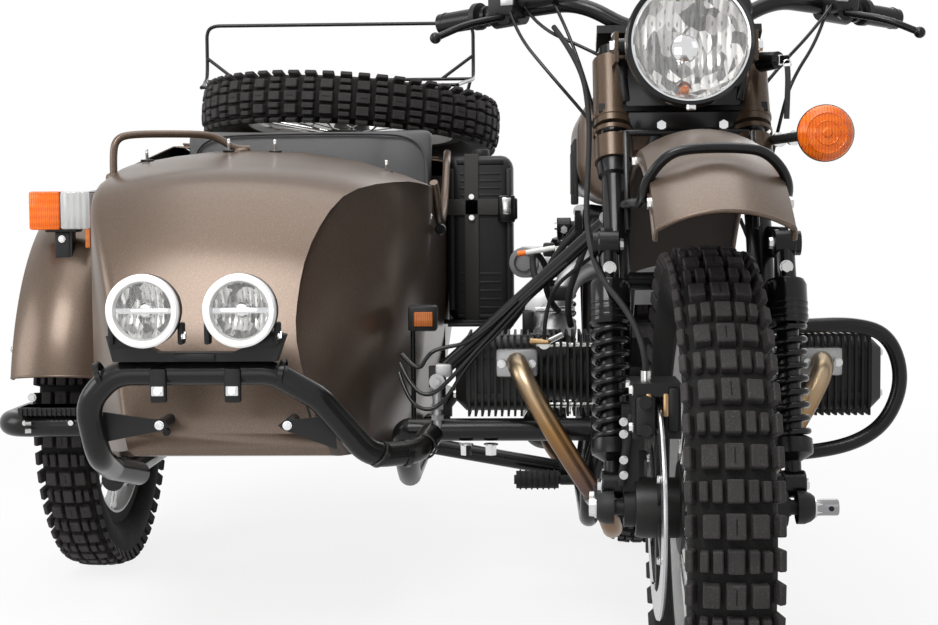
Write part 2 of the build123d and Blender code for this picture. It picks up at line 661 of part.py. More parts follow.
# Grab rail on the cowl
rail = bent([(-994, 868, 800), (-996, 872, 852), (-968, 892, 880), (-842, 975, 882), (-780, 990,
    848)], 14, 34)
pieces["grab_rail"] = rail - outer_body

# Sidecar frame: rails, cross tubes, pads under the body
cross_end = -131.0
rail_back = 1960.0
low_front = (inner_rail_x, 700, sidecar_rail_z)
front_cross = rod((cross_end, front_cross_y, front_cross_z), (inner_rail_x, front_cross_y,
    front_cross_z), 38)
side_frame = front_cross + rod((inner_rail_x, front_cross_y, front_cross_z), low_front, 40)
side_frame += Pos(inner_rail_x, front_cross_y, front_cross_z) * Sphere(20) + Pos(*low_front) * Sphere(20.5)
side_frame += rod(low_front, (inner_rail_x, rail_back, sidecar_rail_z), sidecar_tube)
side_frame += rod((outer_rail_x, 640, sidecar_rail_z), (outer_rail_x, rail_back, sidecar_rail_z),
    sidecar_tube)
cross_tube = 36.0
for cross_y in (660, 1070, 1380, 1900):
    side_frame += drum(outer_rail_x, inner_rail_x - 0.5 if cross_y > 700 else inner_rail_x - 12,
        cross_y, sidecar_rail_z, cross_tube)
for pad_y in (1070, 1380):
    for pad_x in (-900, -540):
        side_frame += block(pad_x - 26, pad_x + 26, pad_y - 15, pad_y + 15, sidecar_rail_z, rows[6][10])
spring_post_x = -1012.0
post_wall = 5.0
spring_y = side_axle_y - 120
spring_z = axle_z + 215
side_frame += block(spring_post_x, outer_rail_x, spring_y - 20, spring_y + 20, sidecar_rail_z - 14,
    sidecar_rail_z + 10)
side_frame += block(spring_post_x, spring_post_x + post_wall, spring_y - 20, spring_y + 20,
    sidecar_rail_z - 14, spring_z + 20)
side_frame += drum(-1058, spring_post_x + 1, spring_y, spring_z, 14)
guard_y = 862.0
guard_z = 345.0
side_frame += block(spring_post_x, outer_rail_x, guard_y - 24, guard_y + 24, sidecar_rail_z - 14,
    sidecar_rail_z + 10)
side_frame += block(spring_post_x, spring_post_x + post_wall, guard_y - 24, guard_y + 24,
    sidecar_rail_z - 14, 376)
side_frame += drum(-1030, outer_rail_x, 930, sidecar_rail_z, 30)
eye_x = -383.0
side_frame += rod((eye_x, front_cross_y, front_cross_z), (eye_x, front_cross_y, 446), 15)
side_frame += rod((inner_rail_x, 800, sidecar_rail_z), (inner_rail_x, 800, 524), 9)
side_frame += block(inner_rail_x - 6, inner_rail_x + 42, 780, 820, 522, 566)
lower_lug = block(-172, -118, 1042, 1078, 200, 250)
side_frame += rod((inner_rail_x, 1060, sidecar_rail_z), (-150, 1060, 226), 32) - lower_lug
rear_eye_x = inner_rail_x + 36
rear_eye_z = 310.0
side_frame += block(inner_rail_x, rear_eye_x + 12, 1238, 1262, sidecar_rail_z, rear_eye_z)
pieces["sidecar_frame"] = side_frame
pieces["frame"] += lower_lug
upper_lug = block(-104, -66, 476, 524, 704, 744)
rear_lug = block(-138, -106, 1190, 1230, 690, 734)
cross_lug = block(cross_end, -80, 528, engine_front - 0.3, 350, 398)
pieces["frame"] += cross_lug
pieces["frame"] += upper_lug
pieces["frame"] += rear_lug

# Upper struts from the sidecar frame's eyes to the motorcycle's frame
front_strut = rod((eye_x, front_cross_y, 466), (-92, 506, 730), 24) - upper_lug
front_strut += block(eye_x - 14, eye_x + 14, front_cross_y - 12, front_cross_y + 12, 446, 480)
rear_strut = rod((rear_eye_x, 1250, rear_eye_z + 22), (-120, 1213, 710), 24) - rear_lug
rear_strut += block(rear_eye_x - 12, rear_eye_x + 12, 1238, 1262, rear_eye_z, rear_eye_z + 34)
pieces["sidecar_struts"] = front_strut + rear_strut

# Sidecar wheel arm with its axle and spring
side_arm = rod((-1045.5, 930, sidecar_rail_z), (-1045.5, side_axle_y, axle_z), 28)
side_arm += drum(-1060, -1031, 930, sidecar_rail_z, 46)
side_arm += drum(-1060, -1031, side_axle_y, axle_z, 46)
side_arm += drum(-track - 52, -1040, side_axle_y, axle_z, axle_diameter)
spring_foot = Vector(-1045, side_axle_y - 48, axle_z - 5)
spring_head = Vector(-1045, spring_y + 2, spring_z - 8)
spring_line = spring_head - spring_foot
side_spring = rod(tuple(spring_foot), tuple(spring_head), 24)
side_spring += rod(tuple(spring_foot + spring_line * 0.23), tuple(spring_foot + spring_line * 0.77), 26)
side_spring += drum(-1058, -1032, spring_y, spring_z, 36)
side_arm += side_spring - drum(-1070, -1000, spring_y, spring_z, 14)
pieces["sidecar_wheel_arm"] = side_arm

# Bumper in front of the nose and the guard in front of the sidecar wheel
bar_y = 388.0
bar_height = 488.0
bumper_points = [(-906, 646, 288), (-924, 530, 316), (-916, 420, 352), (-926, 392, 440), (-880,
    bar_y, bar_height)]
bumper_points += [(-630, bar_y, bar_height), (-560, 398, 446), (-484, 430, 350), (-412, 476, 350),
    (-394, 545, 368)]
bumper = bent(bumper_points, bumper_tube, 62)
bumper = bumper - drum(outer_rail_x, inner_rail_x, 660, sidecar_rail_z, cross_tube) - front_cross
guard_x = -1206.0
guard = bent([(guard_x, 1030, guard_z), (guard_x, guard_y + 6, guard_z), (-1120, guard_y, guard_z),
    (spring_post_x, guard_y, guard_z)], guard_tube, 90)
step = block(-1172, -1062, guard_y - 30, guard_y + 34, guard_z + guard_tube / 2 - 2,
    guard_z + guard_tube / 2 + 12)
pieces["bumpers"] = bumper + guard + step

# Fog lamps on their bracket, clamped to the bumper
fog_front = 325.0
fog = []
for fog_x in (-820, -671):
    face = Plane(origin=(fog_x, fog_front, 588), x_dir=(1, 0, 0), z_dir=(0, 1, 0))
    shell = extrude(Circle(fog_diameter / 2), 26) + Pos(0, 0,
        26) * extrude(Circle(fog_diameter / 2 - 3), fog_depth - 26, taper=26)
    fog.append(face * (shell - extrude(Circle(fog_diameter / 2 - 9), 3)))
saddle_low = bar_height + bumper_tube / 2 + 1
bracket = block(-872, -622, 362, 400, saddle_low, saddle_low + 16)
for foot_x in (-820, -671):
    bracket += block(foot_x - 34, foot_x + 34, 366, 392, saddle_low + 8, 546)
for clamp_x in (-806, -690):
    bracket += block(clamp_x - 12, clamp_x + 12, 360, 416, bar_height - 30, saddle_low + 2)
bracket -= drum(-1000, -500, bar_y, bar_height, bumper_tube)
pieces["fog_lamps"] = bracket + fog[0] + fog[1]

# Sidecar fender with its spacers, marker lamps and plate bracket
fender_x = -1114.0
side_fender = Pos(fender_x, side_axle_y, axle_z) * sheet_hoop(sidecar_fender_radius,
    sidecar_fender_width, -78, 75)
spacer_radius = sidecar_fender_radius - fender_crown - skirt_depth / 2
for spacer_angle in (-52, 0, 52):
    spacer_y = side_axle_y + spacer_radius * sin(radians(spacer_angle))
    spacer_z = axle_z + spacer_radius * cos(radians(spacer_angle))
    side_fender += drum(fender_x + sidecar_fender_width / 2 - sheet, rows[6][1], spacer_y, spacer_z, 14)
pieces["sidecar_fender"] = side_fender
front_marker = block(-1176, -1060, 944, 1000, 708, 777)
marker_foot = block(fender_x - 14, fender_x + 14, 958, 986, 640, 710)
marker_foot -= drum(-1200, -1000, side_axle_y, axle_z, 2 * sidecar_fender_radius - 5)
front_marker += marker_foot - pieces["sidecar_fender"]
tail_y = rear_axle_y + 400
tail_lamp = block(-40, 40, tail_y - 32, tail_y, 540, 610)
tail_foot = block(-12, 12, tail_y - 70, tail_y - 30, 560, 590) - drum(-60, 60, rear_axle_y, axle_z,
    2 * rear_fender_radius - 5)
tail_lamp += tail_foot - rear_fender
plate_bracket = block(-96, 96, tail_y, tail_y + 3, 430, 610)
for hole_x in (-65, 65):
    plate_bracket -= Pos(hole_x, tail_y, 480) * Rot(90, 0, 0) * Cylinder(3.3, 20)
pieces["marker_lamps"] = front_marker + tail_lamp + plate_bracket

# Fuel can on its carrier
can_left = rows[7][7] + 3.0
can = block(can_left, can_left + can_width, can_front, can_front + can_depth, can_bottom,
    can_bottom + can_height)
can = fillet(can.edges().filter_by(Axis.Y), 26)
pieces["jerry_can"] = can + Pos(can_left + can_width / 2, can_front + 60,
    can_bottom + can_height) * Cylinder(20, 12)
carrier = block(rows[7][7], can_left, can_front + 70, can_front + can_depth, can_bottom - 8, 800)
carrier += block(rows[7][7], can_left + can_width, can_front, can_front + can_depth, can_bottom - 8,
    can_bottom)
pieces["can_carrier"] = carrier - pieces["jerry_can"]

# Boot lid with its hinge, spare wheel and luggage rack
slope_x = tan(radians(deck_roll))
slope_y = tan(radians(deck_pitch))
deck = Plane(origin=(deck_x, spare_y, deck_z), x_dir=(1, 0, -slope_x), z_dir=(slope_x, slope_y, 1))
hinge_v = 346.0
barrel_radius = 8.0
hinge_w = barrel_radius + lid_open_gap
lid_slab = Pos(-3, 42, lid_open_gap + lid_thickness / 2) * Box(556, 584, lid_thickness)
leaf = Pos(0, hinge_v - 10, lid_open_gap + 1.5) * Box(120, 20, 3)
barrel_shape = Rot(0, 90, 0) * Cylinder(barrel_radius, 120)
knuckle = Pos(0, hinge_v, hinge_w) * barrel_shape
pin_hole = Pos(0, hinge_v, hinge_w) * Rot(0, 90, 0) * Cylinder(4 + running_clearance, 400)
lid_local = lid_slab + leaf + knuckle - pin_hole
post_top = spare_rise - hub_width / 2
lid_local += Pos(spare_offset, 0, (lid_open_gap + post_top) / 2 + 1) * Cylinder(34,
    post_top - lid_open_gap - 2)
pieces["boot_lid"] = deck * lid_local

spare_at = deck * Pos(spare_offset, 0, spare_rise)
pieces["spare_tyre"] = spare_at * plain_tyre
spare_bolt = Pos(0, 0, 4) * Cylinder(axle_diameter / 2 + running_clearance, hub_width + 8)
spare_nut = Pos(0, 0, hub_width / 2 + 10) * Cylinder(16, 20)
pieces["spare_rim"] = spare_at * (plain_rim + spare_bolt + spare_nut)

rack_z = 1062.0
rack_front_z = 1030.0
rack_back_y = 1990.0
rack_left = -1036.0
rack_right = -368.0
fence_top = 1200.0
tail_bar = [(rack_left + 30, 1770, rack_front_z), (rack_left, rack_back_y, rack_z), (rack_left,
    2004, fence_top)]
tail_bar += [(rack_right, 2004, fence_top), (rack_right, rack_back_y, rack_z), (rack_right - 30,
    1770, rack_front_z)]
rack = bent(tail_bar, rack_tube, 46)
rack += drum(rack_left, rack_right, rack_back_y - 10, rack_z - 2, rack_tube)
rack += drum(rack_left + 30, rack_right - 30, 1780, rack_front_z + 1, rack_tube)
for slat_x in (-860, -702, -544):
    rack += rod((slat_x, 1780, rack_front_z + 1), (slat_x, rack_back_y - 10, rack_z - 2), rack_tube)
for foot_x, top_x in ((-955, rack_left + 6), (-447, rack_right - 6)):
    rack += rod((top_x, rack_back_y - 14, rack_z - 2), (foot_x, 1998, deck_height(foot_x,
        1998) - 10), rack_tube)
rack -= deck * Pos(0, 0, lid_open_gap + lid_thickness - 50) * Box(900, 900, 100)
pieces["luggage_rack"] = rack

hinge_side = Rot(0, 90, 0) * Cylinder(barrel_radius, 60)
hinge = []
for side in (-1, 1):
    hinge.append(Pos(side * 91, hinge_v, hinge_w) * hinge_side)
    hinge.append(Pos(side * 91, hinge_v + 12, hinge_w / 2 - 1) * Box(60, 16, hinge_w + 2))
hinge.append(Pos(0, hinge_v, hinge_w) * Rot(0, 90, 0) * Cylinder(4, 240))
pieces["sidecar_body"] = pieces["sidecar_body"] + [deck * shape for shape in hinge]

# Everything moves so that the origin lies under the middle of the outfit
left_reach = guard_x - guard_tube / 2
right_reach = lever_reach + 9
middle_x = (left_reach + right_reach) / 2
middle_y = (body_tail - wheel_radius) / 2
os.makedirs("parts", exist_ok=True)
for name, piece in pieces.items():
    export_step(Pos(-middle_x, -middle_y, 0) * piece, f"parts/{name}.step")
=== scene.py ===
import bpy
import bmesh
import json
from math import cos, pi, radians, sin, tan
from mathutils import Matrix, Vector


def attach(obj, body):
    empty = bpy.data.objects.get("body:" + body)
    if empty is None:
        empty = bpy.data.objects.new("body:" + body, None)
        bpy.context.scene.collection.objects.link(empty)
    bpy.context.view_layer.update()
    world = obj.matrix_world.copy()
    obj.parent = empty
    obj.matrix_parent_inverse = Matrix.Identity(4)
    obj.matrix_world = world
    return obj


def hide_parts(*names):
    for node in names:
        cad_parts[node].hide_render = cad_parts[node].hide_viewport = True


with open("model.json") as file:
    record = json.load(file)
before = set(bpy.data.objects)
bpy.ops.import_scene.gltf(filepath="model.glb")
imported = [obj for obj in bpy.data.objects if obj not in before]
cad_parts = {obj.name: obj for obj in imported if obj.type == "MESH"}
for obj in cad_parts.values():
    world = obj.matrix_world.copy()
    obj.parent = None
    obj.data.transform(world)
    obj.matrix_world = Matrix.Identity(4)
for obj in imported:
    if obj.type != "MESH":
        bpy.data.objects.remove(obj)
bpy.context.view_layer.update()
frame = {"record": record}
print("frame loaded")

# Bike coordinates in millimetres, with the origin under the front axle, become the frame's metres
middleX = -423.0
middleY = 857.5
wheelRadius = 345.0
rearAxle = 1500.0
sideAxle = 1270.0
sideWheelX = -1120.0
sideFenderX = -1114.0
rake = 28.0
trail = 60.0
deckRoll = tan(radians(3.6))
deckPitch = tan(radians(5.5))
deckAt = (-704, 1690, 838)
legAxis = (0, 0.4695, 0.8829)
# the rider's left is +x
toLeft, toRight = (1, 0, 0), (-1, 0, 0)
toRear, toFront = (0, 1, 0), (0, -1, 0)
toTop, toFloor = (0, 0, 1), (0, 0, -1)


def place(x, y, z):
    return Vector(((x - middleX) / 1000, (y - middleY) / 1000, z / 1000))


def steerY(z):
    return z * tan(radians(rake)) - trail


def legY(z):
    return steerY(z) - 60.0 / cos(radians(rake))


# Camera
view = {"x": -227.8, "y": -2187.3, "z": 743.6, "yaw": -2.13, "pitch": -3.64, "roll": 0.46, "lens": 63.98}
yaw, pitch, roll = radians(view["yaw"]), radians(view["pitch"]), radians(view["roll"])
ahead = Vector((sin(yaw) * cos(pitch), cos(yaw) * cos(pitch), sin(pitch)))
level = Vector((cos(yaw), -sin(yaw), 0))
below = ahead.cross(level)
camRight = level * cos(roll) + below * sin(roll)
camUp = level * sin(roll) - below * cos(roll)
cameraData = bpy.data.cameras.new("camera")
cameraData.lens = view["lens"]
cameraData.sensor_width = 36
cameraData.clip_end = 60
camera = bpy.data.objects.new("camera", cameraData)
turn = Matrix((camRight, camUp, -ahead)).transposed().to_4x4()
camera.matrix_world = Matrix.Translation(place(view["x"], view["y"], view["z"])) @ turn
bpy.context.scene.collection.objects.link(camera)
bpy.context.scene.camera = camera


# Shader maths: a wrapped socket with the operators that the materials use
class Wire:
    def __init__(self, shade, socket):
        self.shade = shade
        self.socket = socket

    def math(self, operation, first, second=None, clamp=False):
        return self.shade.math(operation, first, second, clamp)

    def __add__(self, other):
        return self.math("ADD", self, other)

    def __radd__(self, other):
        return self.math("ADD", other, self)

    def __sub__(self, other):
        return self.math("SUBTRACT", self, other)

    def __rsub__(self, other):
        return self.math("SUBTRACT", other, self)

    def __mul__(self, other):
        return self.math("MULTIPLY", self, other)

    def __truediv__(self, other):
        return self.math("DIVIDE", self, other)

    def __gt__(self, other):
        return self.math("GREATER_THAN", self, other)

    def __pow__(self, other):
        return self.math("POWER", self, other)

    def clamp(self):
        return self.math("ADD", self, 0.0, True)

    def wave(self):
        return self.math("SINE", self)


class Shade:
    # the nodes of a new material, or of a world that is given
    def __init__(self, name, world=None):
        self.material = world or bpy.data.materials.new(name)
        self.material.use_nodes = True
        self.tree = self.material.node_tree
        self.skin = self.tree.nodes["Background" if world else "Principled BSDF"]

    def node(self, kind, settings=None, inputs=None, out=0):
        node = self.tree.nodes.new(kind)
        for name, value in (settings or {}).items():
            if name == "stops":
                while len(node.color_ramp.elements) < len(value):
                    node.color_ramp.elements.new(0.5)
                for element, (at, colour) in zip(node.color_ramp.elements, value):
                    element.position = at
                    element.color = (*colour, 1) if len(colour) == 3 else colour
            else:
                setattr(node, name, value)
        for name, value in (inputs or {}).items():
            if isinstance(value, Wire):
                self.tree.links.new(value.socket, node.inputs[name])
            else:
                node.inputs[name].default_value = value
        return Wire(self, node.outputs[out])

    def math(self, operation, first, second=None, clamp=False):
        inputs = {0: first} if second is None else {0: first, 1: second}
        return self.node("ShaderNodeMath", {"operation": operation, "use_clamp": clamp}, inputs)

    def coords(self, scale=(1, 1, 1), offset=(0, 0, 0)):
        at = self.node("ShaderNodeTexCoord", out=3)
        return self.node("ShaderNodeMapping", {}, {"Vector": at, "Scale": scale, "Location": offset})

    def outs(self, wire, names):
        return [Wire(self, wire.socket.node.outputs[name]) for name in names]

    def axes(self, at=None):
        split = self.node("ShaderNodeSeparateXYZ", {}, {"Vector": at or self.coords()})
        return self.outs(split, (0, 1, 2))

    def seen(self):
        # one where the camera, a mirror or a glass looks at it
        names = ("Is Camera Ray", "Is Glossy Ray", "Is Transmission Ray")
        straight, mirror, through = self.outs(self.node("ShaderNodeLightPath"), names)
        return self.math("MAXIMUM", self.math("MAXIMUM", straight, mirror), through)

    def brighten(self, share, bright, end):
        # the bright shader over the plain one, by the share
        inputs = {0: share, 1: Wire(self, self.skin.outputs[0]), 2: bright}
        both = self.node("ShaderNodeMixShader", {}, inputs)
        self.tree.links.new(both.socket, self.tree.nodes[end].inputs[0])

    def noise(self, scale, detail=2.0, roughness=0.5, at=None):
        inputs = {"Vector": at or self.coords(), "Scale": scale, "Detail": detail, "Roughness": roughness}
        return self.node("ShaderNodeTexNoise", {}, inputs)

    def cells(self, scale, feature="F1", out=0, at=None):
        inputs = {"Vector": at or self.coords(), "Scale": scale}
        return self.node("ShaderNodeTexVoronoi", {"feature": feature}, inputs, out)

    def ramp(self, value, stops):
        return self.node("ShaderNodeValToRGB", {"stops": stops}, {"Fac": value})

    def mix(self, factor, first, second, blend="MIX"):
        inputs = {0: factor}
        for index, value in ((6, first), (7, second)):
            inputs[index] = value if isinstance(value, Wire) or len(value) == 4 else (*value, 1)
        return self.node("ShaderNodeMix", {"data_type": "RGBA", "blend_type": blend}, inputs, 2)

    def bump(self, height, strength=0.3, distance=0.001):
        return self.node("ShaderNodeBump", {}, {"Height": height, "Strength": strength, "Distance": distance})

    def finish(self, colour, roughness, normal=None, metal=None, coat=None, alpha=None, glow=None,
               shine=None, coatRough=None, glowPower=None):
        names = {
            "Base Color": colour, "Roughness": roughness, "Normal": normal, "Metallic": metal,
            "Coat Weight": coat, "Alpha": alpha, "Emission Color": glow,
            "Specular IOR Level": shine, "Coat Roughness": coatRough, "Emission Strength": glowPower,
        }
        for name, value in names.items():
            if isinstance(value, Wire):
                self.tree.links.new(value.socket, self.skin.inputs[name])
            elif value is not None:
                self.skin.inputs[name].default_value = (*value, 1) if name.endswith("Color") else value
        return self.material


def shaded(colour, factor, lift=0.0):
    return tuple(c * factor + lift for c in colour)


def paint(name, colour, flake, metal=0.55, rough=0.36, coat=0.35):
    shade = Shade(name)
    tone = shade.noise(3.5, 3.0)
    speck = shade.axes(shade.cells(1400.0, out=1))[0]
    base = shade.mix(tone * 0.5, colour, shaded(colour, 0.88))
    base = shade.mix((speck > 0.86) * 0.2, base, flake)
    dust = shade.noise(26.0, 5.0, 0.65)
    base = shade.mix(((dust - 0.5).clamp() * 0.5).clamp(), base, shaded(colour, 0.9, 0.02))
    ripple = shade.bump(shade.noise(90.0, 2.0), 0.012)
    return shade.finish(base, rough + (dust - 0.5) * 0.03, ripple, metal, coat, shine=0.3, coatRough=0.16)


def powder(name, colour, rough=0.42, grain=420.0, strength=0.12, metal=0.0):
    shade = Shade(name)
    fine = shade.noise(grain, 3.0, 0.6)
    wide = shade.noise(11.0, 4.0, 0.6)
    base = shade.mix((wide * 0.7).clamp(), colour, shaded(colour, 1.5, 0.002))
    relief = shade.bump(fine, strength, 0.0006)
    return shade.finish(base, rough + (wide - 0.5) * 0.22, relief, metal, shine=0.26)


def bareMetal(name, colour, rough=0.28, grain=(30, 30, 400), strength=0.05, metal=1.0):
    shade = Shade(name)
    brushed = shade.noise(6.0, 4.0, 0.6, shade.coords(grain))
    cloud = shade.noise(24.0, 4.0, 0.6)
    base = shade.mix((cloud * 0.8).clamp(), colour, shaded(colour, 0.72))
    return shade.finish(base, rough + (brushed - 0.5) * 0.14, shade.bump(brushed, strength, 0.0004), metal)


bronze = paint("bronzePaint", (0.108, 0.076, 0.056), (0.33, 0.26, 0.2), 0.45, 0.31, 0.08)
bronzeDeep = paint("bronzeShroud", (0.08, 0.053, 0.034), (0.27, 0.19, 0.13), 0.4, 0.3, 0.08)
blackSatin = powder("satinBlack", (0.0035, 0.0035, 0.0037), 0.25)
blackCast = powder("castBlack", (0.0075, 0.0075, 0.0078), 0.5, 700.0, 0.3)
blackGloss = powder("glossBlack", (0.005, 0.005, 0.0055), 0.16, 90.0, 0.02)
tubeGrey = powder("bumperCoat", (0.007, 0.0066, 0.0064), 0.24, 600.0, 0.08)
engineBlack = powder("engineBlack", (0.006, 0.0056, 0.0052), 0.44, 500.0, 0.16)
plasticBlack = powder("mouldedBlack", (0.010, 0.010, 0.0105), 0.46, 1200.0, 0.22)
alloy = bareMetal("castAlloy", (0.42, 0.42, 0.42), 0.44, (60, 60, 60), 0.12, 0.85)
steel = bareMetal("brightSteel", (0.62, 0.62, 0.61), 0.22)
chrome = bareMetal("chrome", (0.78, 0.78, 0.79), 0.07, (8, 8, 8), 0.01)
bronzeMetal = bareMetal("sinteredBronze", (0.55, 0.36, 0.19), 0.4, (90, 90, 90), 0.1, 0.9)


def discSteel():
    shade = Shade("discSteel")
    x, y, z = shade.axes(shade.coords(offset=(0, middleY / 1000, -wheelRadius / 1000)))
    ring = ((y * y + z * z) ** 0.5 * 5200.0).wave()
    base = shade.mix((ring * 0.2 + 0.5).clamp(), (0.55, 0.55, 0.56), (0.4, 0.4, 0.41))
    return shade.finish(base, 0.26 + ring * 0.05, shade.bump(ring, 0.05, 0.0003), 1.0)


def rubber(name, top, groove, rough=0.78):
    shade = Shade(name)
    dust = shade.noise(38.0, 5.0, 0.62)
    speck = shade.noise(420.0, 2.0, 0.7)
    base = shade.mix((dust * 1.5 - 0.35).clamp(), top, groove)
    base = shade.mix(((speck - 0.56) * 4.0).clamp(), base, shaded(top, 2.0, 0.012))
    return shade.finish(base, rough + (dust - 0.5) * 0.2, shade.bump(speck, 0.25, 0.0008), 0.0, shine=0.16)


tyreRubber = rubber("tyreRubber", (0.009, 0.0083, 0.008), (0.005, 0.0048, 0.0046))
lugRubber = rubber("lugRubber", (0.038, 0.034, 0.034), (0.021, 0.019, 0.019), 0.66)
softRubber = rubber("softRubber", (0.02, 0.02, 0.02), (0.012, 0.012, 0.012), 0.6)


def tintedPipe():
    shade = Shade("heatTintedSteel")
    x, y, z = shade.axes()
    along = z * 3.0 + shade.noise(14.0, 3.0) * 0.12
    colours = [(0.0, (0.17, 0.12, 0.08)), (0.3, (0.28, 0.17, 0.075)), (0.56, (0.10, 0.065, 0.06))]
    colours += [(0.74, (0.24, 0.13, 0.05)), (0.92, (0.34, 0.26, 0.17))]
    base = shade.ramp((along / 1.6).clamp(), colours)
    return shade.finish(base, 0.26 + shade.noise(40.0, 4.0) * 0.2, shade.bump(shade.noise(200.0), 0.03), 0.95)


def glassy(name, colour, rough, alpha, ribs, depth):
    # ribs is the width of a moulded flute, in metres
    shade = Shade(name)
    x, y, z = shade.axes()
    normal = shade.bump((x * (2 * pi / ribs)).wave(), depth, 0.0012)
    tone = shade.mix(shade.noise(30.0, 2.0) * 0.3, colour, tuple(min(1, c * 1.12) for c in colour))
    return shade.finish(tone, rough + shade.noise(60.0, 3.0) * 0.03, normal, 0.0, 0.0, alpha, shine=0.9)


def amberLens(name, colour, lit):
    shade = Shade(name)
    x, y, z = shade.axes()
    ribs = (x * 1500.0).wave() * 0.6 + (z * 420.0).wave() * 0.4
    tone = shade.mix((ribs * 0.35 + 0.4).clamp(), colour, lit)
    relief = shade.bump(ribs, 0.3, 0.0008)
    return shade.finish(tone, 0.12 + shade.noise(50.0) * 0.05, relief, 0.0, 0.05, shine=0.3)


def bowlPaintedReflection(name, ribs, count):
    # painted reflection: random cells of the bowl are painted between near black and near white, darker where
    # the deep mask falls, and grey on the flute crests
    shade = Shade(name)
    x, y, z = shade.axes()
    flutes = (x * (2 * pi / ribs)).wave()
    facet = shade.axes(shade.cells(count, out=1, at=shade.coords((1, 1, 0.55))))[0]
    deep = ((z * (2 * pi / (ribs * 2.7))).wave() * flutes) > 0.8
    bright = ((facet * 2.4 - 0.55).clamp() * 0.8 + 0.2) * (1 - deep * 0.6)
    tone = shade.mix(bright.clamp(), (0.055, 0.055, 0.058), (0.96, 0.95, 0.93))
    tone = shade.mix((flutes * 0.7 - 0.3).clamp(), tone, (0.24, 0.24, 0.245))
    relief = shade.bump(flutes, 0.5, 0.002)
    # the painted reflection's colours are also given as a faint glow, a painted glow
    return shade.finish(tone, 0.16 + facet * 0.12, relief, 0.7, 0.2, glow=tone, glowPower=0.17)


amber = amberLens("amberLens", (0.66, 0.085, 0.004), (0.93, 0.22, 0.012))
amberDark = amberLens("amberReflector", (0.42, 0.10, 0.02), (0.6, 0.2, 0.04))
redLens = amberLens("redLens", (0.45, 0.012, 0.01), (0.7, 0.04, 0.03))
clearLens = glassy("clearLens", (0.9, 0.9, 0.9), 0.05, 0.5, 0.012, 0.4)
headGlass = glassy("headlampGlass", (0.9, 0.91, 0.91), 0.02, 0.035, 0.0105, 0.1)
fogGlass = glassy("fogGlass", (0.86, 0.86, 0.85), 0.03, 0.035, 0.0075, 0.1)
# headlamp and fog lamp bowls, their light and dark facets a painted reflection with a faint painted glow
mirrorBowlPaintedReflection = bowlPaintedReflection("flutedBowlPaintedReflection", 0.0125, 62.0)
fogBowlPaintedReflection = bowlPaintedReflection("fogBowlPaintedReflection", 0.009, 85.0)


def vinyl(name, colour):
    shade = Shade(name)
    grain = shade.cells(520.0, "DISTANCE_TO_EDGE")
    folds = shade.noise(16.0, 4.0, 0.55)
    base = shade.mix((folds * 0.9).clamp(), colour, shaded(colour, 1.8, 0.008))
    height = (grain * 3.0).clamp() * 0.5 + folds * 1.6
    return shade.finish(base, 0.44 + (folds - 0.5) * 0.25, shade.bump(height, 0.35, 0.0009), 0.0)


seatVinyl = vinyl("seatVinyl", (0.030, 0.029, 0.030))
cushionVinyl = vinyl("cushionVinyl", (0.040, 0.039, 0.040))


def webbing():
    shade = Shade("webbing")
    x, y, z = shade.axes()
    weave = (x * 2600.0).wave() * (z * 2600.0).wave()
    base = shade.mix((weave * 0.5 + 0.5).clamp(), (0.022, 0.021, 0.02), (0.05, 0.048, 0.045))
    return shade.finish(base, 0.8 + weave * 0.05, shade.bump(weave, 0.4, 0.0008), 0.0)


strapCloth = webbing()
darkInside = powder("darkInside", (0.02, 0.018, 0.016), 0.8)
print("materials made")


# Mesh helpers, in bike millimetres until the piece is finished
def flat(bm, slot):
    # the faces made since the last call get this slot
    done = bm.faces.layers.int.get("done") or bm.faces.layers.int.new("done")
    for face in bm.faces:
        if not face[done]:
            face.material_index = slot
            face[done] = 1


def edgesOf(verts):
    # each edge once, always in the same order
    return list(dict.fromkeys(edge for vert in verts for edge in vert.link_edges))


def bevel(bm, edges, offset, steps):
    bmesh.ops.bevel(bm, geom=edges, offset=offset, affect="EDGES", segments=steps, profile=0.5, material=-1)


def boxy(bm, centre, size, edge=0.0, turned=None, slot=0, steps=2):
    corner = Matrix.Translation(centre) @ (turned or Matrix()) @ Matrix.Diagonal((*size, 1))
    made = bmesh.ops.create_cube(bm, size=1, matrix=corner)
    if edge:
        bevel(bm, edgesOf(made["verts"]), edge, steps)
    flat(bm, slot)


def tilted(degrees, axis):
    return Matrix.Rotation(radians(degrees), 4, axis)


def slab(bm, points, y, deep, slot):
    # an outline of (x, z) that grows backward from y
    face = bm.faces.new([bm.verts.new((x, y, z)) for x, z in points])
    grown = bmesh.ops.extrude_face_region(bm, geom=[face])
    moved = [part for part in grown["geom"] if isinstance(part, bmesh.types.BMVert)]
    bmesh.ops.translate(bm, vec=(0, deep, 0), verts=moved)
    flat(bm, slot)


def mirrored(route):
    return [(-x, y, z) for x, y, z in route]


def between(start, end):
    line = Vector(end) - Vector(start)
    return Matrix.Translation(start) @ line.to_track_quat("Z", "Y").to_matrix().to_4x4(), line.length


def bar(bm, start, end, radius, tip=None, sides=24, edge=0.0, slot=0):
    at, length = between(start, end)
    at = at @ Matrix.Translation((0, 0, length / 2))
    tip = radius if tip is None else tip
    size = {"radius1": radius, "radius2": tip, "depth": length}
    made = bmesh.ops.create_cone(bm, cap_ends=True, segments=sides, matrix=at, **size)
    if edge:
        edges = edgesOf(made["verts"])
        bevel(bm, [e for e in edges if any(len(f.verts) > 4 for f in e.link_faces)], edge, 2)
    flat(bm, slot)


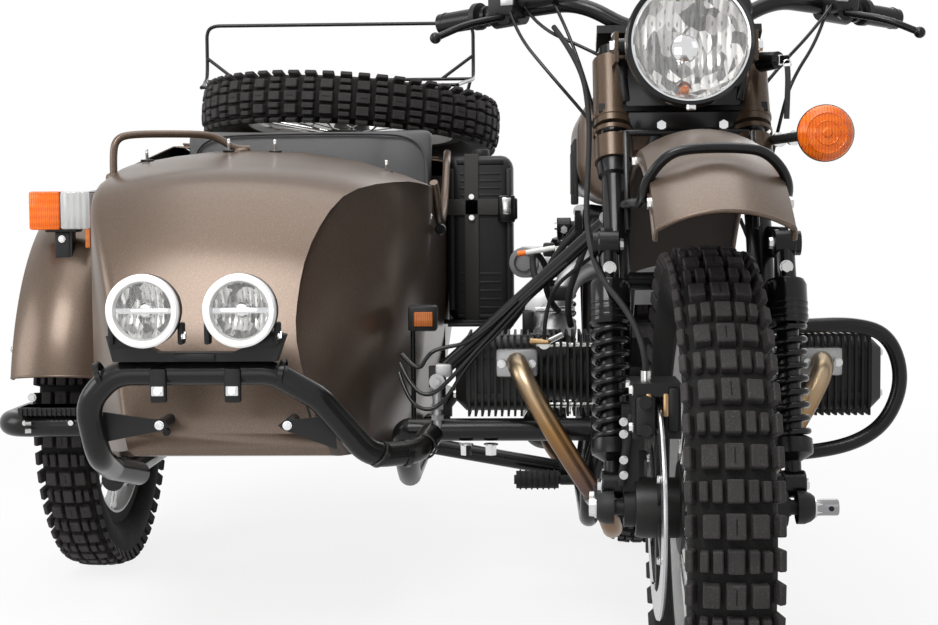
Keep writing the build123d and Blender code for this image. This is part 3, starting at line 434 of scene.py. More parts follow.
def lathe(bm, profile, origin, axis, sides=48, slot=0):
    # profile holds (radius, height) along the axis
    at, length = between(origin, Vector(origin) + Vector(axis))
    verts = [bm.verts.new(at @ Vector((radius, 0, height))) for radius, height in profile]
    edges = [bm.edges.new(pair) for pair in zip(verts, verts[1:])]
    centre, line = Vector(origin), Vector(axis).normalized()
    bmesh.ops.spin(bm, geom=verts + edges, cent=centre, axis=line, angle=2 * pi, steps=sides, use_merge=True)
    flat(bm, slot)


def bolt(bm, centre, axis, size=8.0, slot=0, height=0.6):
    # a washer, and a six-sided head on it
    line = Vector(axis).normalized()
    seat = Vector(centre) + line * size * 0.18
    bar(bm, centre, seat, size * 1.15, sides=20, slot=slot)
    bar(bm, seat, Vector(centre) + line * size * (0.18 + height), size, size * 0.94, 6, slot=slot)


def piece(name, bm, materials, body="chassis", over=(), angle=35, wall=0.0, levels=0, clean=True):
    flat(bm, 0)
    bm.faces.layers.int.remove(bm.faces.layers.int.get("done"))
    for vert in bm.verts:
        vert.co = place(*vert.co)
    bmesh.ops.remove_doubles(bm, verts=bm.verts[:], dist=0.00002)
    if clean:
        bmesh.ops.recalc_face_normals(bm, faces=bm.faces[:])
    for face in bm.faces:
        face.smooth = True
    mesh = bpy.data.meshes.new(name)
    bm.to_mesh(mesh)
    bm.free()
    thing = bpy.data.objects.new(name, mesh)
    bpy.context.scene.collection.objects.link(thing)
    for material in materials if isinstance(materials, (list, tuple)) else [materials]:
        mesh.materials.append(material)
    mesh.set_sharp_from_angle(angle=radians(angle))
    if wall:
        shell = thing.modifiers.new("wall", "SOLIDIFY")
        shell.thickness = wall / 1000
        shell.offset = -1
        shell.material_offset = 1 if len(mesh.materials) > 1 else 0
    if levels:
        smooth = thing.modifiers.new("smooth", "SUBSURF")
        smooth.levels = smooth.render_levels = levels
    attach(thing, body)
    if over:
        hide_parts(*over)
    return thing


def pipe(name, routes, radius, material, body="chassis", over=(), curved=True, sides=6):
    curve = bpy.data.curves.new(name, "CURVE")
    curve.dimensions = "3D"
    curve.bevel_depth = radius / 1000
    curve.bevel_resolution = sides
    curve.resolution_u = 10
    curve.use_fill_caps = True
    for route in routes:
        spline = curve.splines.new("NURBS" if curved else "POLY")
        spline.points.add(len(route) - 1)
        for point, at in zip(spline.points, route):
            point.co = (*place(*at), 1)
        if curved:
            spline.order_u = 3
            spline.use_endpoint_u = True
    curve.materials.append(material)
    thing = bpy.data.objects.new(name, curve)
    bpy.context.scene.collection.objects.link(thing)
    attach(thing, body)
    if over:
        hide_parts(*over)
    return thing


pipeTint = tintedPipe()

# Carried-over nodes get their finishes
finishes = {
    "frame": blackSatin, "engine_block": engineBlack, "cylinders": engineBlack, "exhausts": pipeTint,
    "fuel_tank": bronze, "rear_fender": bronze, "swingarm": blackSatin, "rear_shocks": blackGloss,
    "crash_bar": blackSatin, "footpegs": softRubber, "grab_rail": bronze, "sidecar_frame": blackSatin,
    "sidecar_struts": blackSatin, "sidecar_wheel_arm": blackSatin, "bumpers": tubeGrey, "intake": alloy,
    "sidecar_fender": bronze, "can_carrier": blackSatin, "fork": blackSatin, "handlebar": blackSatin,
    "fender_hoop": blackSatin, "luggage_rack": blackSatin, "boot_lid": bronze, "seat": seatVinyl,
    "front_indicator": amber, "marker_lamps": plasticBlack, "jerry_can": plasticBlack,
    "sidecar_seat": cushionVinyl,
    "fork_shrouds": bronzeDeep, "headlamp": bronze, "headlamp_lens": headGlass, "front_fender": bronze,
    "link_arm": blackCast, "front_shocks": blackGloss, "fog_lamps": blackCast, "bar_controls": blackSatin,
    "front_tyre": tyreRubber, "rear_tyre": tyreRubber, "sidecar_tyre": tyreRubber, "spare_tyre": tyreRubber,
    "front_rim": alloy, "rear_rim": alloy, "sidecar_rim": alloy, "spare_rim": alloy, "sidecar_body": bronze,
}
for node, material in finishes.items():
    thing = bpy.data.objects[node]
    thing.data.materials.clear()
    thing.data.materials.append(material)
    [s["material_slot"] for s in frame["record"]["subparts"] if s["node"] == node][0]

# Painted shade under the fenders: a dark copy of the faces that look at the axle, a gap off the sheet, in
# metres
undersideSpec = {"gap": 0.0008, "facing": -0.35}
# a near-black brown that paints the shade under the fenders
paintedShadeUnderside = powder("fenderUndersidePaintedShade", (0.016, 0.0095, 0.0065), 0.5, 300.0, 0.15)
undersides = (
    ("front_fender", "fork", (0, 0, wheelRadius)),
    ("sidecar_fender", "chassis", (sideFenderX, sideAxle, wheelRadius)),
)
for node, body, axle in undersides:
    bm = bmesh.new()
    bm.from_mesh(bpy.data.objects[node].data)
    centre = place(*axle)
    away = []
    for face in bm.faces:
        spoke = face.calc_center_median() - centre
        spoke.x = 0
        if face.normal.dot(spoke.normalized()) > undersideSpec["facing"]:
            away.append(face)
    bmesh.ops.delete(bm, geom=away, context="FACES")
    bmesh.ops.remove_doubles(bm, verts=bm.verts[:], dist=0.00002)
    shift = [(vert, vert.normal * undersideSpec["gap"]) for vert in bm.verts]
    for vert, by in shift:
        vert.co += by
    for vert in bm.verts:
        vert.co = vert.co * 1000 + Vector((middleX, middleY, 0))
    piece(node + "Underside", bm, [paintedShadeUnderside], body, clean=False)

# Wheels
tyreSpec = {"carcass": 334.5, "rows": 54, "seat": 236.5, "bead": 27.0}
rimSpec = {"wide": 54.0, "spokes": 20, "lean": 24, "hubWide": 76.0}


def treadedTyre():
    # about the z axis, in millimetres
    bm = bmesh.new()
    crown = tyreSpec["carcass"]
    profile = [(tyreSpec["seat"], -tyreSpec["bead"]), (258, -27.5), (262, -33), (276, -45), (292, -50.5)]
    profile += [(306, -51), (319, -48), (328, -42), (crown - 1, -26), (crown, 0)]
    profile += [(r, -h) for r, h in reversed(profile[:-1])]
    lathe(bm, profile, (0, 0, 0), toTop, 108)
    rows = tyreSpec["rows"]
    for index in range(rows):
        spin = Matrix.Rotation(2 * pi * index / rows, 4, "Z")
        if index % 2:
            blocks = [(0, 21, 30, 332.5, 12.3, 0, 0.88), (19.5, 12.5, 28, 332, 12.4, 5, 0.9),
                      (-19.5, 12.5, 28, 332, 12.4, -5, 0.9)]
            blocks += [(34, 10.5, 25, 330, 12.6, 10, 0.9), (-34, 10.5, 25, 330, 12.6, -10, 0.9)]
        else:
            blocks = [(0, 24, 32, 332.5, 12.3, 0, 0.9), (26.5, 21, 29, 331.5, 12.4, 7, 0.9),
                      (-26.5, 21, 29, 331.5, 12.4, -7, 0.9)]
        blocks += [(46, 10, 27, 321, 17, 26, 0.9), (-46, 10, 27, 321, 17, -26, 0.9)]
        for across, wide, long, foot, tall, lean, draft in blocks:
            at = spin @ Matrix.Translation((foot, 0, across)) @ tilted(-lean, "Y")
            made = bmesh.ops.create_cube(bm, size=1, matrix=at @ Matrix.Diagonal((2 * tall, long, wide, 1)))
            back = at.inverted()
            outer = [v for v in made["verts"] if (back @ v.co).x > 0]
            middle = sum((v.co for v in outer), Vector()) / 4
            for vert in outer:
                vert.co = middle + (vert.co - middle) * draft
            bevel(bm, edgesOf(outer), 1.5, 1)
        flat(bm, 1)
        if not index % 2:
            top = spin @ Matrix.Translation((344.6, 0, 0)) @ Matrix.Diagonal((0.9, 18, 1.6, 1))
            bmesh.ops.create_cube(bm, size=1, matrix=top)
            flat(bm, 0)
    mesh = bpy.data.meshes.new("treadedTyre")
    bm.to_mesh(mesh)
    bm.free()
    return mesh


tyrePattern = treadedTyre()


def tyreMesh(name, origin, axis, body, node):
    bm = bmesh.new()
    bm.from_mesh(tyrePattern)
    at, length = between(origin, Vector(origin) + Vector(axis))
    bm.transform(at)
    return piece(name, bm, [tyreRubber, lugRubber], body, (node,), 30)


def rimMesh(name, origin, axis, body, node):
    bm = bmesh.new()
    wide = rimSpec["wide"] / 2
    lip = [(232, -wide), (254, -wide), (256, -wide + 2), (255, -wide + 5), (239, -wide + 7), (236, -10)]
    ring = lip + [(233, 0)] + [(r, -h) for r, h in reversed(lip)] + [(227, 8), (226, 0), (227, -8), lip[0]]
    lathe(bm, ring, origin, axis, 96)
    hub = rimSpec["hubWide"] / 2
    half = [(10.2, -hub), (34, -hub), (38, -hub + 2), (60, -hub + 3), (62, -hub + 5), (60, -hub + 8)]
    half += [(42, -hub + 13)]
    barrel = half + [(36, 0)] + [(r, -h) for r, h in reversed(half)] + [half[0]]
    lathe(bm, barrel, origin, axis, 48, 1)
    at, length = between(origin, Vector(origin) + Vector(axis))
    count = rimSpec["spokes"]
    for side in (-1, 1):
        for index in range(count):
            angle = 2 * pi * (index + side / 4) / count
            lean = radians(rimSpec["lean"]) * (1 if index % 2 else -1)
            foot = at @ Vector((56 * cos(angle), 56 * sin(angle), side * (hub - 6)))
            tip = at @ Vector((230 * cos(angle + lean), 230 * sin(angle + lean), side * 12))
            bar(bm, foot, tip, 2.1, sides=8, slot=2)
            bar(bm, tip + (foot - tip) * 0.07, tip, 3.4, sides=8, slot=2)
    return piece(name, bm, [alloy, engineBlack, steel], body, (node,), 30)


wheels = (
    ("front", (0, 0, wheelRadius), toLeft, "front_wheel"),
    ("rear", (0, rearAxle, wheelRadius), toLeft, "rear_wheel"),
    ("sidecar", (sideWheelX, sideAxle, wheelRadius), toLeft, "sidecar_wheel"),
)
for name, origin, axis, body in wheels:
    tyreMesh(name + "TreadedTyre", origin, axis, body, name + "_tyre")
    rimMesh(name + "SpokedWheel", origin, axis, body, name + "_rim")

deckUp = Vector((deckRoll, deckPitch, 1)).normalized()
deckRight = Vector((1, 0, -deckRoll)).normalized()
deckBack = deckUp.cross(deckRight)


def onDeck(u, v, w):
    return Vector(deckAt) + deckRight * u + deckBack * v + deckUp * w


spareAt = onDeck(55, 0, 112)
tyreMesh("spareTreadedTyre", spareAt, deckUp, "boot_lid", "spare_tyre")
rimMesh("spareSpokedWheel", spareAt, deckUp, "boot_lid", "spare_rim")
bm = bmesh.new()
lathe(bm, [(0, -32), (10.1, -32), (10.1, 56), (0, 56)], spareAt, deckUp, 24)
bar(bm, spareAt + deckUp * 47, spareAt + deckUp * 66, 17, sides=6)
piece("spareClampNut", bm, steel, "boot_lid")
print("wheels made")

# Front brake disc and hub nose
disc = {"x": -63.0, "outer": 147.5, "inner": 109.5, "thick": 5.0, "arms": 74, "bolts": 104}
bm = bmesh.new()
half = disc["thick"] / 2
ring = [(disc["inner"], -half), (disc["outer"] - 1, -half), (disc["outer"], 0), (disc["outer"] - 1, half)]
lathe(bm, ring + [(disc["inner"], half), (disc["inner"], -half)], (disc["x"], 0, wheelRadius), toLeft, 96)
lathe(bm, [(34, -30), (38, -29), (40, -20), (40, 27), (34, 27)], (disc["x"], 0, wheelRadius), toLeft, 40, 3)
for index in range(6):
    a = index * pi / 3
    arm = (disc["x"], -disc["arms"] * sin(a), wheelRadius + disc["arms"] * cos(a))
    boxy(bm, arm, (4, 22, 76), 1, Matrix.Rotation(a, 4, "X"), 3)
    head = (disc["x"] - 3, -disc["bolts"] * sin(a), wheelRadius + disc["bolts"] * cos(a))
    bolt(bm, head, toRight, 5, 2)
piece("frontBrakeDisc", bm, [discSteel(), alloy, steel, engineBlack], "front_wheel")

# Brake caliper details, hose and axle ends
bm = bmesh.new()
caliperZ = 478.5
for offset in (-14, 8):
    boxy(bm, (disc["x"] + offset, -47, caliperZ + 8), (7, 7, 30), 2)
for y, z in ((-40, 26), (34, 26), (-40, -22)):
    bolt(bm, (disc["x"] - 34, y, caliperZ + z), toRight, 6.5, 1)
boxy(bm, (disc["x"] - 18, -48, caliperZ - 6), (26, 8, 52), 5, slot=2)
boxy(bm, (disc["x"] + 18, -48, caliperZ + 2), (14, 6, 58), 4, slot=2)
for z in (-24, 12):
    bar(bm, (disc["x"] - 18, -50, caliperZ + z), (disc["x"] - 18, -56, caliperZ + z), 9, 8, 20, slot=2)
bar(bm, (disc["x"] - 16, -20, caliperZ + 34), (disc["x"] - 16, -20, caliperZ + 50), 7, sides=20, slot=1)
for side in (-1, 1):
    nose = [(0, 17), (15, 17), (19, 12), (22, 4), (22, -6)]
    lathe(bm, nose, (side * 126, 0, wheelRadius), (side, 0, 0), 32, 2)
    bolt(bm, (side * 143, 0, wheelRadius), (side, 0, 0), 12, 1)
    lathe(bm, [(0, 12), (16, 12), (21, 8), (23, 0), (23, -8)], (side * 125, 229, 318), (side, 0, 0), 32, 2)
    bolt(bm, (side * 137, 229, 318), (side, 0, 0), 9, 1)
pin = [(0, 0), (11, 0), (11, 33), (10, 34.5), (5, 34.5), (5, 28), (0, 28)]
lathe(bm, pin, (140, 0, wheelRadius), toLeft, 32, 3)
lathe(bm, [(0, 11.6), (3.5, 11.6), (3.5, 6)], (164, 0, wheelRadius), toFront, 20, 2)
boxy(bm, (-104, -8, 424), (9, 30, 96), 3, tilted(8, "Y"), 2)
for z in (392, 412, 446, 462):
    bolt(bm, (-108, -24, z), toFront, 5, 1, 0.8)
pinSteel = bareMetal("pinSteel", (0.3, 0.3, 0.31), 0.2)
piece("brakeCaliperDetails", bm, [bronzeMetal, steel, blackCast, pinSteel], "fork")
hose = [(-79, -20, 528), (-79, -22, 552), (-96, 20, 600), (-138, 90, 650), (-150, 180, 720), (-142, 280, 800),
        (-138, 330, 880), (-150, 360, 960), (-190, 420, 1020)]
pipe("brakeHose", [hose], 4.2, softRubber, "fork")

# Springs with their dampers, front and rear
spring = {"turns": 8.5, "steps": 14, "coil": 22.5, "wire": 4.6, "eye": 15.0}
# end, x, foot (y, z), top (y, z), body, replaced node, and the cover's start and end as shares of the length
springs = (
    ("Front", 120.0, (24.0, 372.0), (118.0, 690.0), "fork", "front_shocks", 0.655, 0.84),
    ("Rear", 156.0, (1440.0, 372.0), (1400.0, 700.0), "chassis", "rear_shocks", 0.7, 0.92),
)


def springUnit(name, x, low, high, body, node, canFrom, canTo):
    foot = Vector((x, *low))
    top = Vector((x, *high))
    axis = (top - foot).normalized()
    reach = (top - foot).length
    at, length = between(foot, top)
    bm = bmesh.new()
    seat = [(0, -4), (9, -2), (11, 12), (11, 30), (27, 40), (28, 46), (27, 60), (20, 64), (8, 66)]
    lathe(bm, seat, foot, axis, 40)
    lathe(bm, [(15, 60), (15, reach * canFrom)], foot, axis, 24)
    can = reach * canFrom
    canEnd = reach * canTo
    cover = [(8, can - 2), (25, can), (28.5, can + 4), (28.5, canEnd - 7), (25, canEnd)]
    lathe(bm, cover + [(15, canEnd + 3), (14, reach - 4), (0, reach - 4)], foot, axis, 48, 2)
    for step in range(3):
        rib = can + 8 + step * 9
        lathe(bm, [(28.4, rib), (29, rib + 1), (29, rib + 4), (28.4, rib + 5)], foot, axis, 48, 2)
    bolt(bm, foot + axis * (canEnd + 20) + Vector((0, -14, 0)), toFront, 8, 3)
    wide = spring["eye"]
    eye = [(8, -wide), (17, -wide), (18.5, -wide + 2), (18.5, wide - 2), (17, wide), (8, wide)]
    for centre in (foot, top):
        lathe(bm, eye, centre, toLeft, 36)
        for side in (-1, 1):
            bolt(bm, centre + Vector((side * (wide - 1), 0, 0)), (side, 0, 0), 8, 3)
    piece(name + "Damper", bm, [blackSatin, chrome, blackGloss, steel], body, (node,))
    points = []
    radius, start, stop = spring["coil"], 62, can - 3
    total = int(spring["turns"] * spring["steps"])
    for index in range(total + 1):
        angle = 2 * pi * index / spring["steps"]
        height = start + (stop - start) * index / total
        points.append(tuple(at @ Vector((radius * cos(angle), radius * sin(angle), height))))
    pipe(name + "Coil", [points], spring["wire"], blackGloss, body, sides=4)


for end, x, *rest in springs:
    for side, name in ((-1, "right"), (1, "left")):
        springUnit(name + end + "Spring", side * x, *rest)
print("springs made")

# Headlamp: bucket, black rim, chrome ring, bowl, bulbs and glass
lamp = {"y": 190.0, "z": 974.0, "rim": 92.5}
lampAt = (0, lamp["y"], lamp["z"])
bm = bmesh.new()
rim = lamp["rim"]
bucket = [(86, 14), (rim - 2, 13), (rim, 16), (rim, 22), (rim - 3, 28), (rim - 4, 60), (rim - 8, 92)]
lathe(bm, bucket + [(72, 118), (52, 136), (24, 147), (0, 150)], lampAt, toRear, 96)
blackRim = [(85, 1.6), (89, 0.4), (rim - 0.6, 3), (rim, 9), (rim, 14), (rim - 2, 17), (86, 17), (85, 1.6)]
lathe(bm, blackRim, lampAt, toRear, 96, 1)
chromeRing = [(79.5, 4.2), (81.5, 1.8), (84, 1.2), (85.6, 3.2), (85.6, 12), (79.5, 12), (79.5, 4.2)]
lathe(bm, chromeRing, lampAt, toRear, 96, 2)
for side in (-1, 1):
    bar(bm, (side * 86, 270, lamp["z"]), (side * 99, 270, lamp["z"]), 12, sides=28, slot=1)
    bolt(bm, (side * 104, 270, lamp["z"]), (side, 0, 0), 9, 2)
boxy(bm, (0, 192, 1068.5), (16, 8, 7), 2, slot=2)
boxy(bm, (0, 193, 880.5), (14, 9, 8), 2, slot=2)
piece("headlampShell", bm, [bronze, blackGloss, chrome], "fork", ("headlamp",))
bm = bmesh.new()
lathe(bm, [(80, 10), (79, 16), (70, 38), (54, 58), (34, 72), (16, 79), (0, 80)], lampAt, toRear, 96)
piece("headlampBowl", bm, mirrorBowlPaintedReflection, "fork", clean=False)
bm = bmesh.new()
bulbX, bulbZ, parkingZ = -6, 966, 908
shield = [(0, 27), (11, 27.5), (18.5, 31), (20.5, 36), (20, 44), (13, 46)]
lathe(bm, shield, (bulbX, lamp["y"], bulbZ), toRear, 40)
bar(bm, (bulbX, 232, bulbZ), (bulbX, 262, bulbZ), 9)
bar(bm, (bulbX, 230, parkingZ), (bulbX, 252, parkingZ), 6.5, slot=1)
lathe(bm, [(0, 28), (4, 29), (6.5, 33), (6.5, 42)], (bulbX, lamp["y"], parkingZ), toRear, 24, 1)
lathe(bm, [(9, 45), (11, 42), (13, 46), (13, 60)], (bulbX, lamp["y"], parkingZ), toRear, 24)
for side in (-1, 1):
    boxy(bm, (bulbX + side * 15, 236, bulbZ), (2.5, 26, 5), 0.6)
piece("headlampBulbs", bm, [chrome, amberDark], "fork")
bm = bmesh.new()
lathe(bm, [(80.5, 8.5), (81, 6), (76, 4.6), (64, 2.2), (44, 0.6), (20, -0.6), (0, -1)],
      (0, lamp["y"] + 2, lamp["z"]), toRear, 96)
piece("headlampGlass", bm, headGlass, "fork", ("headlamp_lens",), wall=2.0)

# Panel, yoke fasteners, shroud slots and steering parts behind the lamp
legX = 103
bm = bmesh.new()
boxy(bm, (0, 319, 906), (172, 5, 112), 4)
for side in (-1, 1):
    boxy(bm, (side * 88, 317, 930), (12, 8, 66), 3, tilted(side * 6, "Y"))
boxy(bm, (0, 318, 851), (196, 30, 9), 3, slot=1)
for x, z, size in ((4, 896, 7), (-32, 862, 8), (60, 862, 8)):
    bolt(bm, (x, 319, z), toFront, size, 2)
for side in (-1, 1):
    for z in (868, 846):
        lathe(bm, [(29.2, 0), (30.5, 1), (30.5, 7), (29.2, 8)], (side * legX, legY(z), z), legAxis, 40, 3)
    boxy(bm, (side * legX, legY(952) - 29.5, 952), (9, 4, 40), 1.8, tilted(-rake, "X"), 1)
    bolt(bm, (side * 98, legY(1000) - 30, 1000), (0, -1, 0.2), 5, 2)
    collar = [(19, -20), (24, -16), (26, 0), (25, 8), (19, 10)]
    lathe(bm, collar, (side * legX, legY(800), 800), legAxis, 36, 1)
bar(bm, (0, steerY(968) - 6, 984), (0, steerY(1000) - 6, 1012), 22, 20, 6, slot=2)
bar(bm, (118, 330, 955), (138, 302, 955), 15, 13, 32, slot=1)
bar(bm, (138, 302, 955), (141, 298, 955), 8, slot=2)
boxy(bm, (146, 290, 955), (16, 3, 12), 1, tilted(-40, "Z"), 1)
piece("yokeFasteners", bm, [blackGloss, blackSatin, chrome, bronzeDeep], "fork")
strap = [(149, 284, 944), (150, 282, 930), (149, 282, 900), (148, 282, 868)]
pipe("keyStrap", [strap], 4.2, strapCloth, "fork")
keyRing = [(149 + 6 * cos(k * pi / 6), 284, 948 + 6 * sin(k * pi / 6)) for k in range(13)]
pipe("keyRing", [keyRing], 1.0, chrome, "fork")

# Left turn lamp: amber lens in its black shell, on a stem
turnLamp = {"x": 169.0, "y": 60.0, "z": 838.0, "radius": 38.5}
at = Vector((turnLamp["x"], turnLamp["y"], turnLamp["z"]))
bm = bmesh.new()
radius = turnLamp["radius"]
lens = [(0, 0), (5, 0), (7, 1.8), (15, 2.6), (16, 1.8), (17, 3), (26, 5), (27, 4.2), (28, 6), (34, 10)]
lathe(bm, lens + [(37.4, 15), (37.8, 19)], at, toRear, 56)
for turn in range(12):
    a = turn * pi / 6
    inner, outer = [at + Vector((r * cos(a), deep, r * sin(a))) for r, deep in ((9, 3), (33, 9.5))]
    bar(bm, inner, outer, 0.9, sides=8)
lathe(bm, [(37.4, 17), (radius, 17), (radius, 21), (36, 30), (26, 41), (10, 46), (0, 46)], at, toRear, 56, 1)
bar(bm, at + Vector((-10, 36, 0)), (131, legY(at.z) - 10, at.z), 7.0, sides=28, slot=1)
for x, y in ((150, 220), (140, 290)):
    lathe(bm, [(7, 0), (11, 1), (11, 10), (7, 11)], (x, y, at.z), (-0.12, 1, 0), 28, 2)
bolt(bm, (158, 110, at.z), toLeft, 8, 2)
piece("leftTurnLamp", bm, [amber, plasticBlack, chrome], "fork", ("front_indicator",))

# Fender lips, the front fender's side bolts, stays and hoop
fenderForm = {"z": wheelRadius, "half": 82.0, "crown": 28.0, "skirt": 18.0}
frontSpec = {"y": 60.0, "radius": 499.0, **fenderForm}
sideSpec = {"y": sideAxle, "radius": 440.0, **fenderForm}
rearSpec = {"y": rearAxle, "radius": 400.0, **fenderForm}


def fenderPoint(spec, x, angle, drop=0.0):
    reach = spec["radius"] - drop
    return (x, spec["y"] + reach * sin(radians(angle)), spec["z"] + reach * cos(radians(angle)))


def fenderLip(name, spec, ends, angles, radius, body, centre=0.0):
    # across both ends, and along both lower edges
    half, crown = spec["half"], spec["crown"]
    skirt = crown + spec["skirt"] - 2
    routes = []
    for angle in ends:
        route = [fenderPoint(spec, centre - half, angle, skirt)]
        for x in (-1.0, -0.9, -0.6, -0.3, 0, 0.3, 0.6, 0.9, 1.0):
            route.append(fenderPoint(spec, centre + x * half, angle, crown * x * x))
        routes.append(route + [fenderPoint(spec, centre + half, angle, skirt)])
    for side in (-1, 1):
        routes.append([fenderPoint(spec, centre + side * half, angle, 45) for angle in angles])
    pipe(name, routes, radius, bronze, body)


fenderLip("frontFenderLip", frontSpec, (-38.2, 51.8), range(-38, 53, 6), 2.6, "fork")
bm = bmesh.new()
for side in (-1, 1):
    for angle in (-30, 8):
        y, z = fenderPoint(frontSpec, 0, angle, 37)[1:]
        bolt(bm, (side * 82, y, z), (side, 0, 0), 7)
    boxy(bm, (side * 90, 200, 776), (8, 24, 150), 3, tilted(-20, "X"), 1)
piece("frontFenderBolts", bm, [steel, blackSatin], "fork")
hoopRoute = [(-92, 330, 742), (-92, 60, 748), (-90, -110, 744), (-86, -142, 776), (-60, -152, 806),
             (-30, -154, 812)]
hoopRoute += mirrored(reversed(hoopRoute))
pipe("fenderHoopTube", [hoopRoute], 6.5, blackSatin, "fork", ("fender_hoop",))

# Handlebar fittings: master cylinder, switch boxes, levers' clamps and cables
bm = bmesh.new()
for side in (-1, 1):
    boxy(bm, (side * 262, 500, 1064), (50, 52, 40), 9, tilted(side * 30, "Z"))
    boxy(bm, (side * 262, 472, 1066), (24, 8, 14), 3, tilted(side * 30, "Z"), 1)
    bar(bm, (side * 306, 550, 1052), (side * 314, 556, 1052), 22, sides=32)
    bar(bm, (side * 364, 592, 1046), (side * 371, 597, 1046), 18, 16, 32)
boxy(bm, (-205, 470, 1082), (64, 44, 40), 8, tilted(-24, "Z"))
boxy(bm, (-205, 470, 1103), (68, 48, 6), 2, tilted(-24, "Z"))
bolt(bm, (-225, 466, 1105), toTop, 4, 1)
bolt(bm, (-186, 474, 1105), toTop, 4, 1)
bar(bm, (-240, 492, 1070), (-150, 446, 1068), 13, sides=28)
boxy(bm, (46, 400, 1040), (130, 70, 36), 14)
piece("barSwitchgear", bm, [plasticBlack, alloy], "fork")
cables = [
    [(-258, 470, 1050), (-246, 440, 1010), (-200, 400, 950), (-150, 380, 890), (-118, 372, 850),
     (-100, 380, 790)],
    [(-190, 452, 1062), (-176, 420, 1030), (-150, 392, 960), (-128, 372, 880), (-112, 380, 820),
     (-100, 400, 760)],
    [(-236, 480, 1060), (-214, 430, 1020), (-140, 396, 984), (-80, 384, 950), (-40, 400, 900)],
    [(240, 470, 1052), (220, 430, 1000), (170, 390, 930), (150, 376, 860), (140, 400, 800)],
    [(252, 480, 1060), (210, 420, 1010), (150, 390, 950), (110, 384, 900)],
]
pipe("barCables", cables, 2.7, blackGloss, "fork")
print("front end made")

# Fuel tank: knee pads and filler cap
bm = bmesh.new()
for side in (-1, 1):
    boxy(bm, (side * 151, 720, 800), (7, 250, 110), 3.2)
    boxy(bm, (side * 154, 720, 800), (4, 200, 74), 1.8)
piece("tankKneePads", bm, [softRubber])
bm = bmesh.new()
cap = [(0, 12), (26, 12), (35, 8), (37, 0), (37, -16), (34.2, -22), (34.2, -30)]
lathe(bm, cap, (0, 660, 948), toTop)
piece("tankFillerCap", bm, [steel])

# Cylinders: head covers, plates, studs and the spark plug's lead end
bm = bmesh.new()
cylinderY, cylinderZ = 650, 461
for side in (-1, 1):
    x = side * 355.5
    for y, z in ((-34, 34), (34, 34), (-34, -34), (34, -34)):
        bolt(bm, (x - side, cylinderY + y, cylinderZ + z), (side, 0, 0), 6, 1)
    boxy(bm, (side * 300, cylinderY, cylinderZ), (60, 126, 70), 10)
    boxy(bm, (side * 350, cylinderY, cylinderZ), (9, 60, 40), 6)
    for row in (-1, 1):
        z = cylinderZ + row * 50
        bar(bm, (side * 110, 598, z), (side * 222, 598, z), 5, sides=20, slot=1)
    boxy(bm, (side * 252, 579, 483), (70, 9, 48), 6, slot=2)
    for end in (-1, 1):
        stud = side * 252 + end * 25
        bar(bm, (stud, 575, 483), (stud, 560, 483), 4.5, sides=16, slot=1)
        bolt(bm, (stud, 562, 483), toFront, 6, 1)
bolt(bm, (-206, 576, 516), toFront, 9, 1, 1.4)
bar(bm, (-228, 566, 520), (-198, 552, 520), 5, 4, 20, slot=3)
bar(bm, (-198, 552, 520), (-176, 560, 530), 6, sides=20, slot=1)
piece("cylinderDetails", bm, [engineBlack, steel, alloy, bronzeMetal])

# Crankcase: front cover, its bolts, the sump's fins and side boxes
bm = bmesh.new()
boxy(bm, (0, 548, 398), (176, 24, 120), 12)
lathe(bm, [(0, 16), (46, 16), (50, 12), (52, 0), (52, -10)], (0, 542, 392), toFront, 56)
for index in range(8):
    angle = index * pi / 4 + 0.2
    bolt(bm, (44 * cos(angle), 528, 392 + 44 * sin(angle)), toFront, 4.5, 1)
for index in range(9):
    boxy(bm, (0, 620 + index * 24, 230), (150, 5, 18), 1.5)
boxy(bm, (0, 700, 246), (196, 300, 14), 5)
boxy(bm, (-112, 640, 300), (20, 90, 60), 8)
bar(bm, (-104, 560, 300), (-104, 540, 300), 13, sides=28, slot=1)
piece("crankcaseDetails", bm, [engineBlack, steel])

# Throttle bodies with their trumpets and linkage, hoses and leads
bm = bmesh.new()
for side in (-1, 1):
    trumpet = [(0, 3), (28, 3), (33, 1), (34, -4), (34, -40), (30, -44)]
    lathe(bm, trumpet, (side * 206, 792, 556), (0.15 * side, -1, 0.12))
    bar(bm, (side * 188, 742, 500), (side * 182, 782, 530), 36, sides=40, edge=2)
    bar(bm, (side * 196, 720, 490), (side * 190, 738, 500), 30, sides=40, edge=1, slot=1)
    boxy(bm, (side * 232, 766, 536), (22, 42, 46), 6, slot=2)
    bar(bm, (side * 150, 752, 560), (side * 220, 752, 560), 6, sides=20, slot=3)
    boxy(bm, (side * 176, 744, 590), (44, 30, 26), 6, slot=2)
lathe(bm, [(0, 5), (24, 5), (27, 3), (28, 0), (28, -24)], (-240, 880, 640), (-0.2, -1, 0.05), 44, 4)
lathe(bm, [(16, 6), (18, 6), (18, 3), (16, 3)], (-240, 876, 640), (-0.2, -1, 0.05), 32, 1)
boxy(bm, (-196, 700, 668), (20, 34, 24), 4, slot=2)
bar(bm, (-236, 668, 664), (-186, 668, 672), 4.4, sides=20, slot=5)
bar(bm, (-250, 668, 662), (-236, 668, 664), 4.6, sides=20, slot=6)
greyCover = powder("greyCover", (0.16, 0.16, 0.16), 0.5)
whiteRod = powder("whiteRod", (0.62, 0.62, 0.6), 0.4)
orangeTip = powder("orangeTip", (0.75, 0.16, 0.02), 0.45)
coats = [alloy, blackSatin, plasticBlack, steel, greyCover, whiteRod, orangeTip]
piece("throttleBodies", bm, coats)
rightHose = [(-150, 620, 700), (-190, 640, 660), (-205, 660, 610), (-190, 700, 570), (-180, 740, 560)]
leftHose = [(150, 620, 700), (190, 640, 660), (206, 660, 610), (190, 700, 570), (180, 740, 560)]
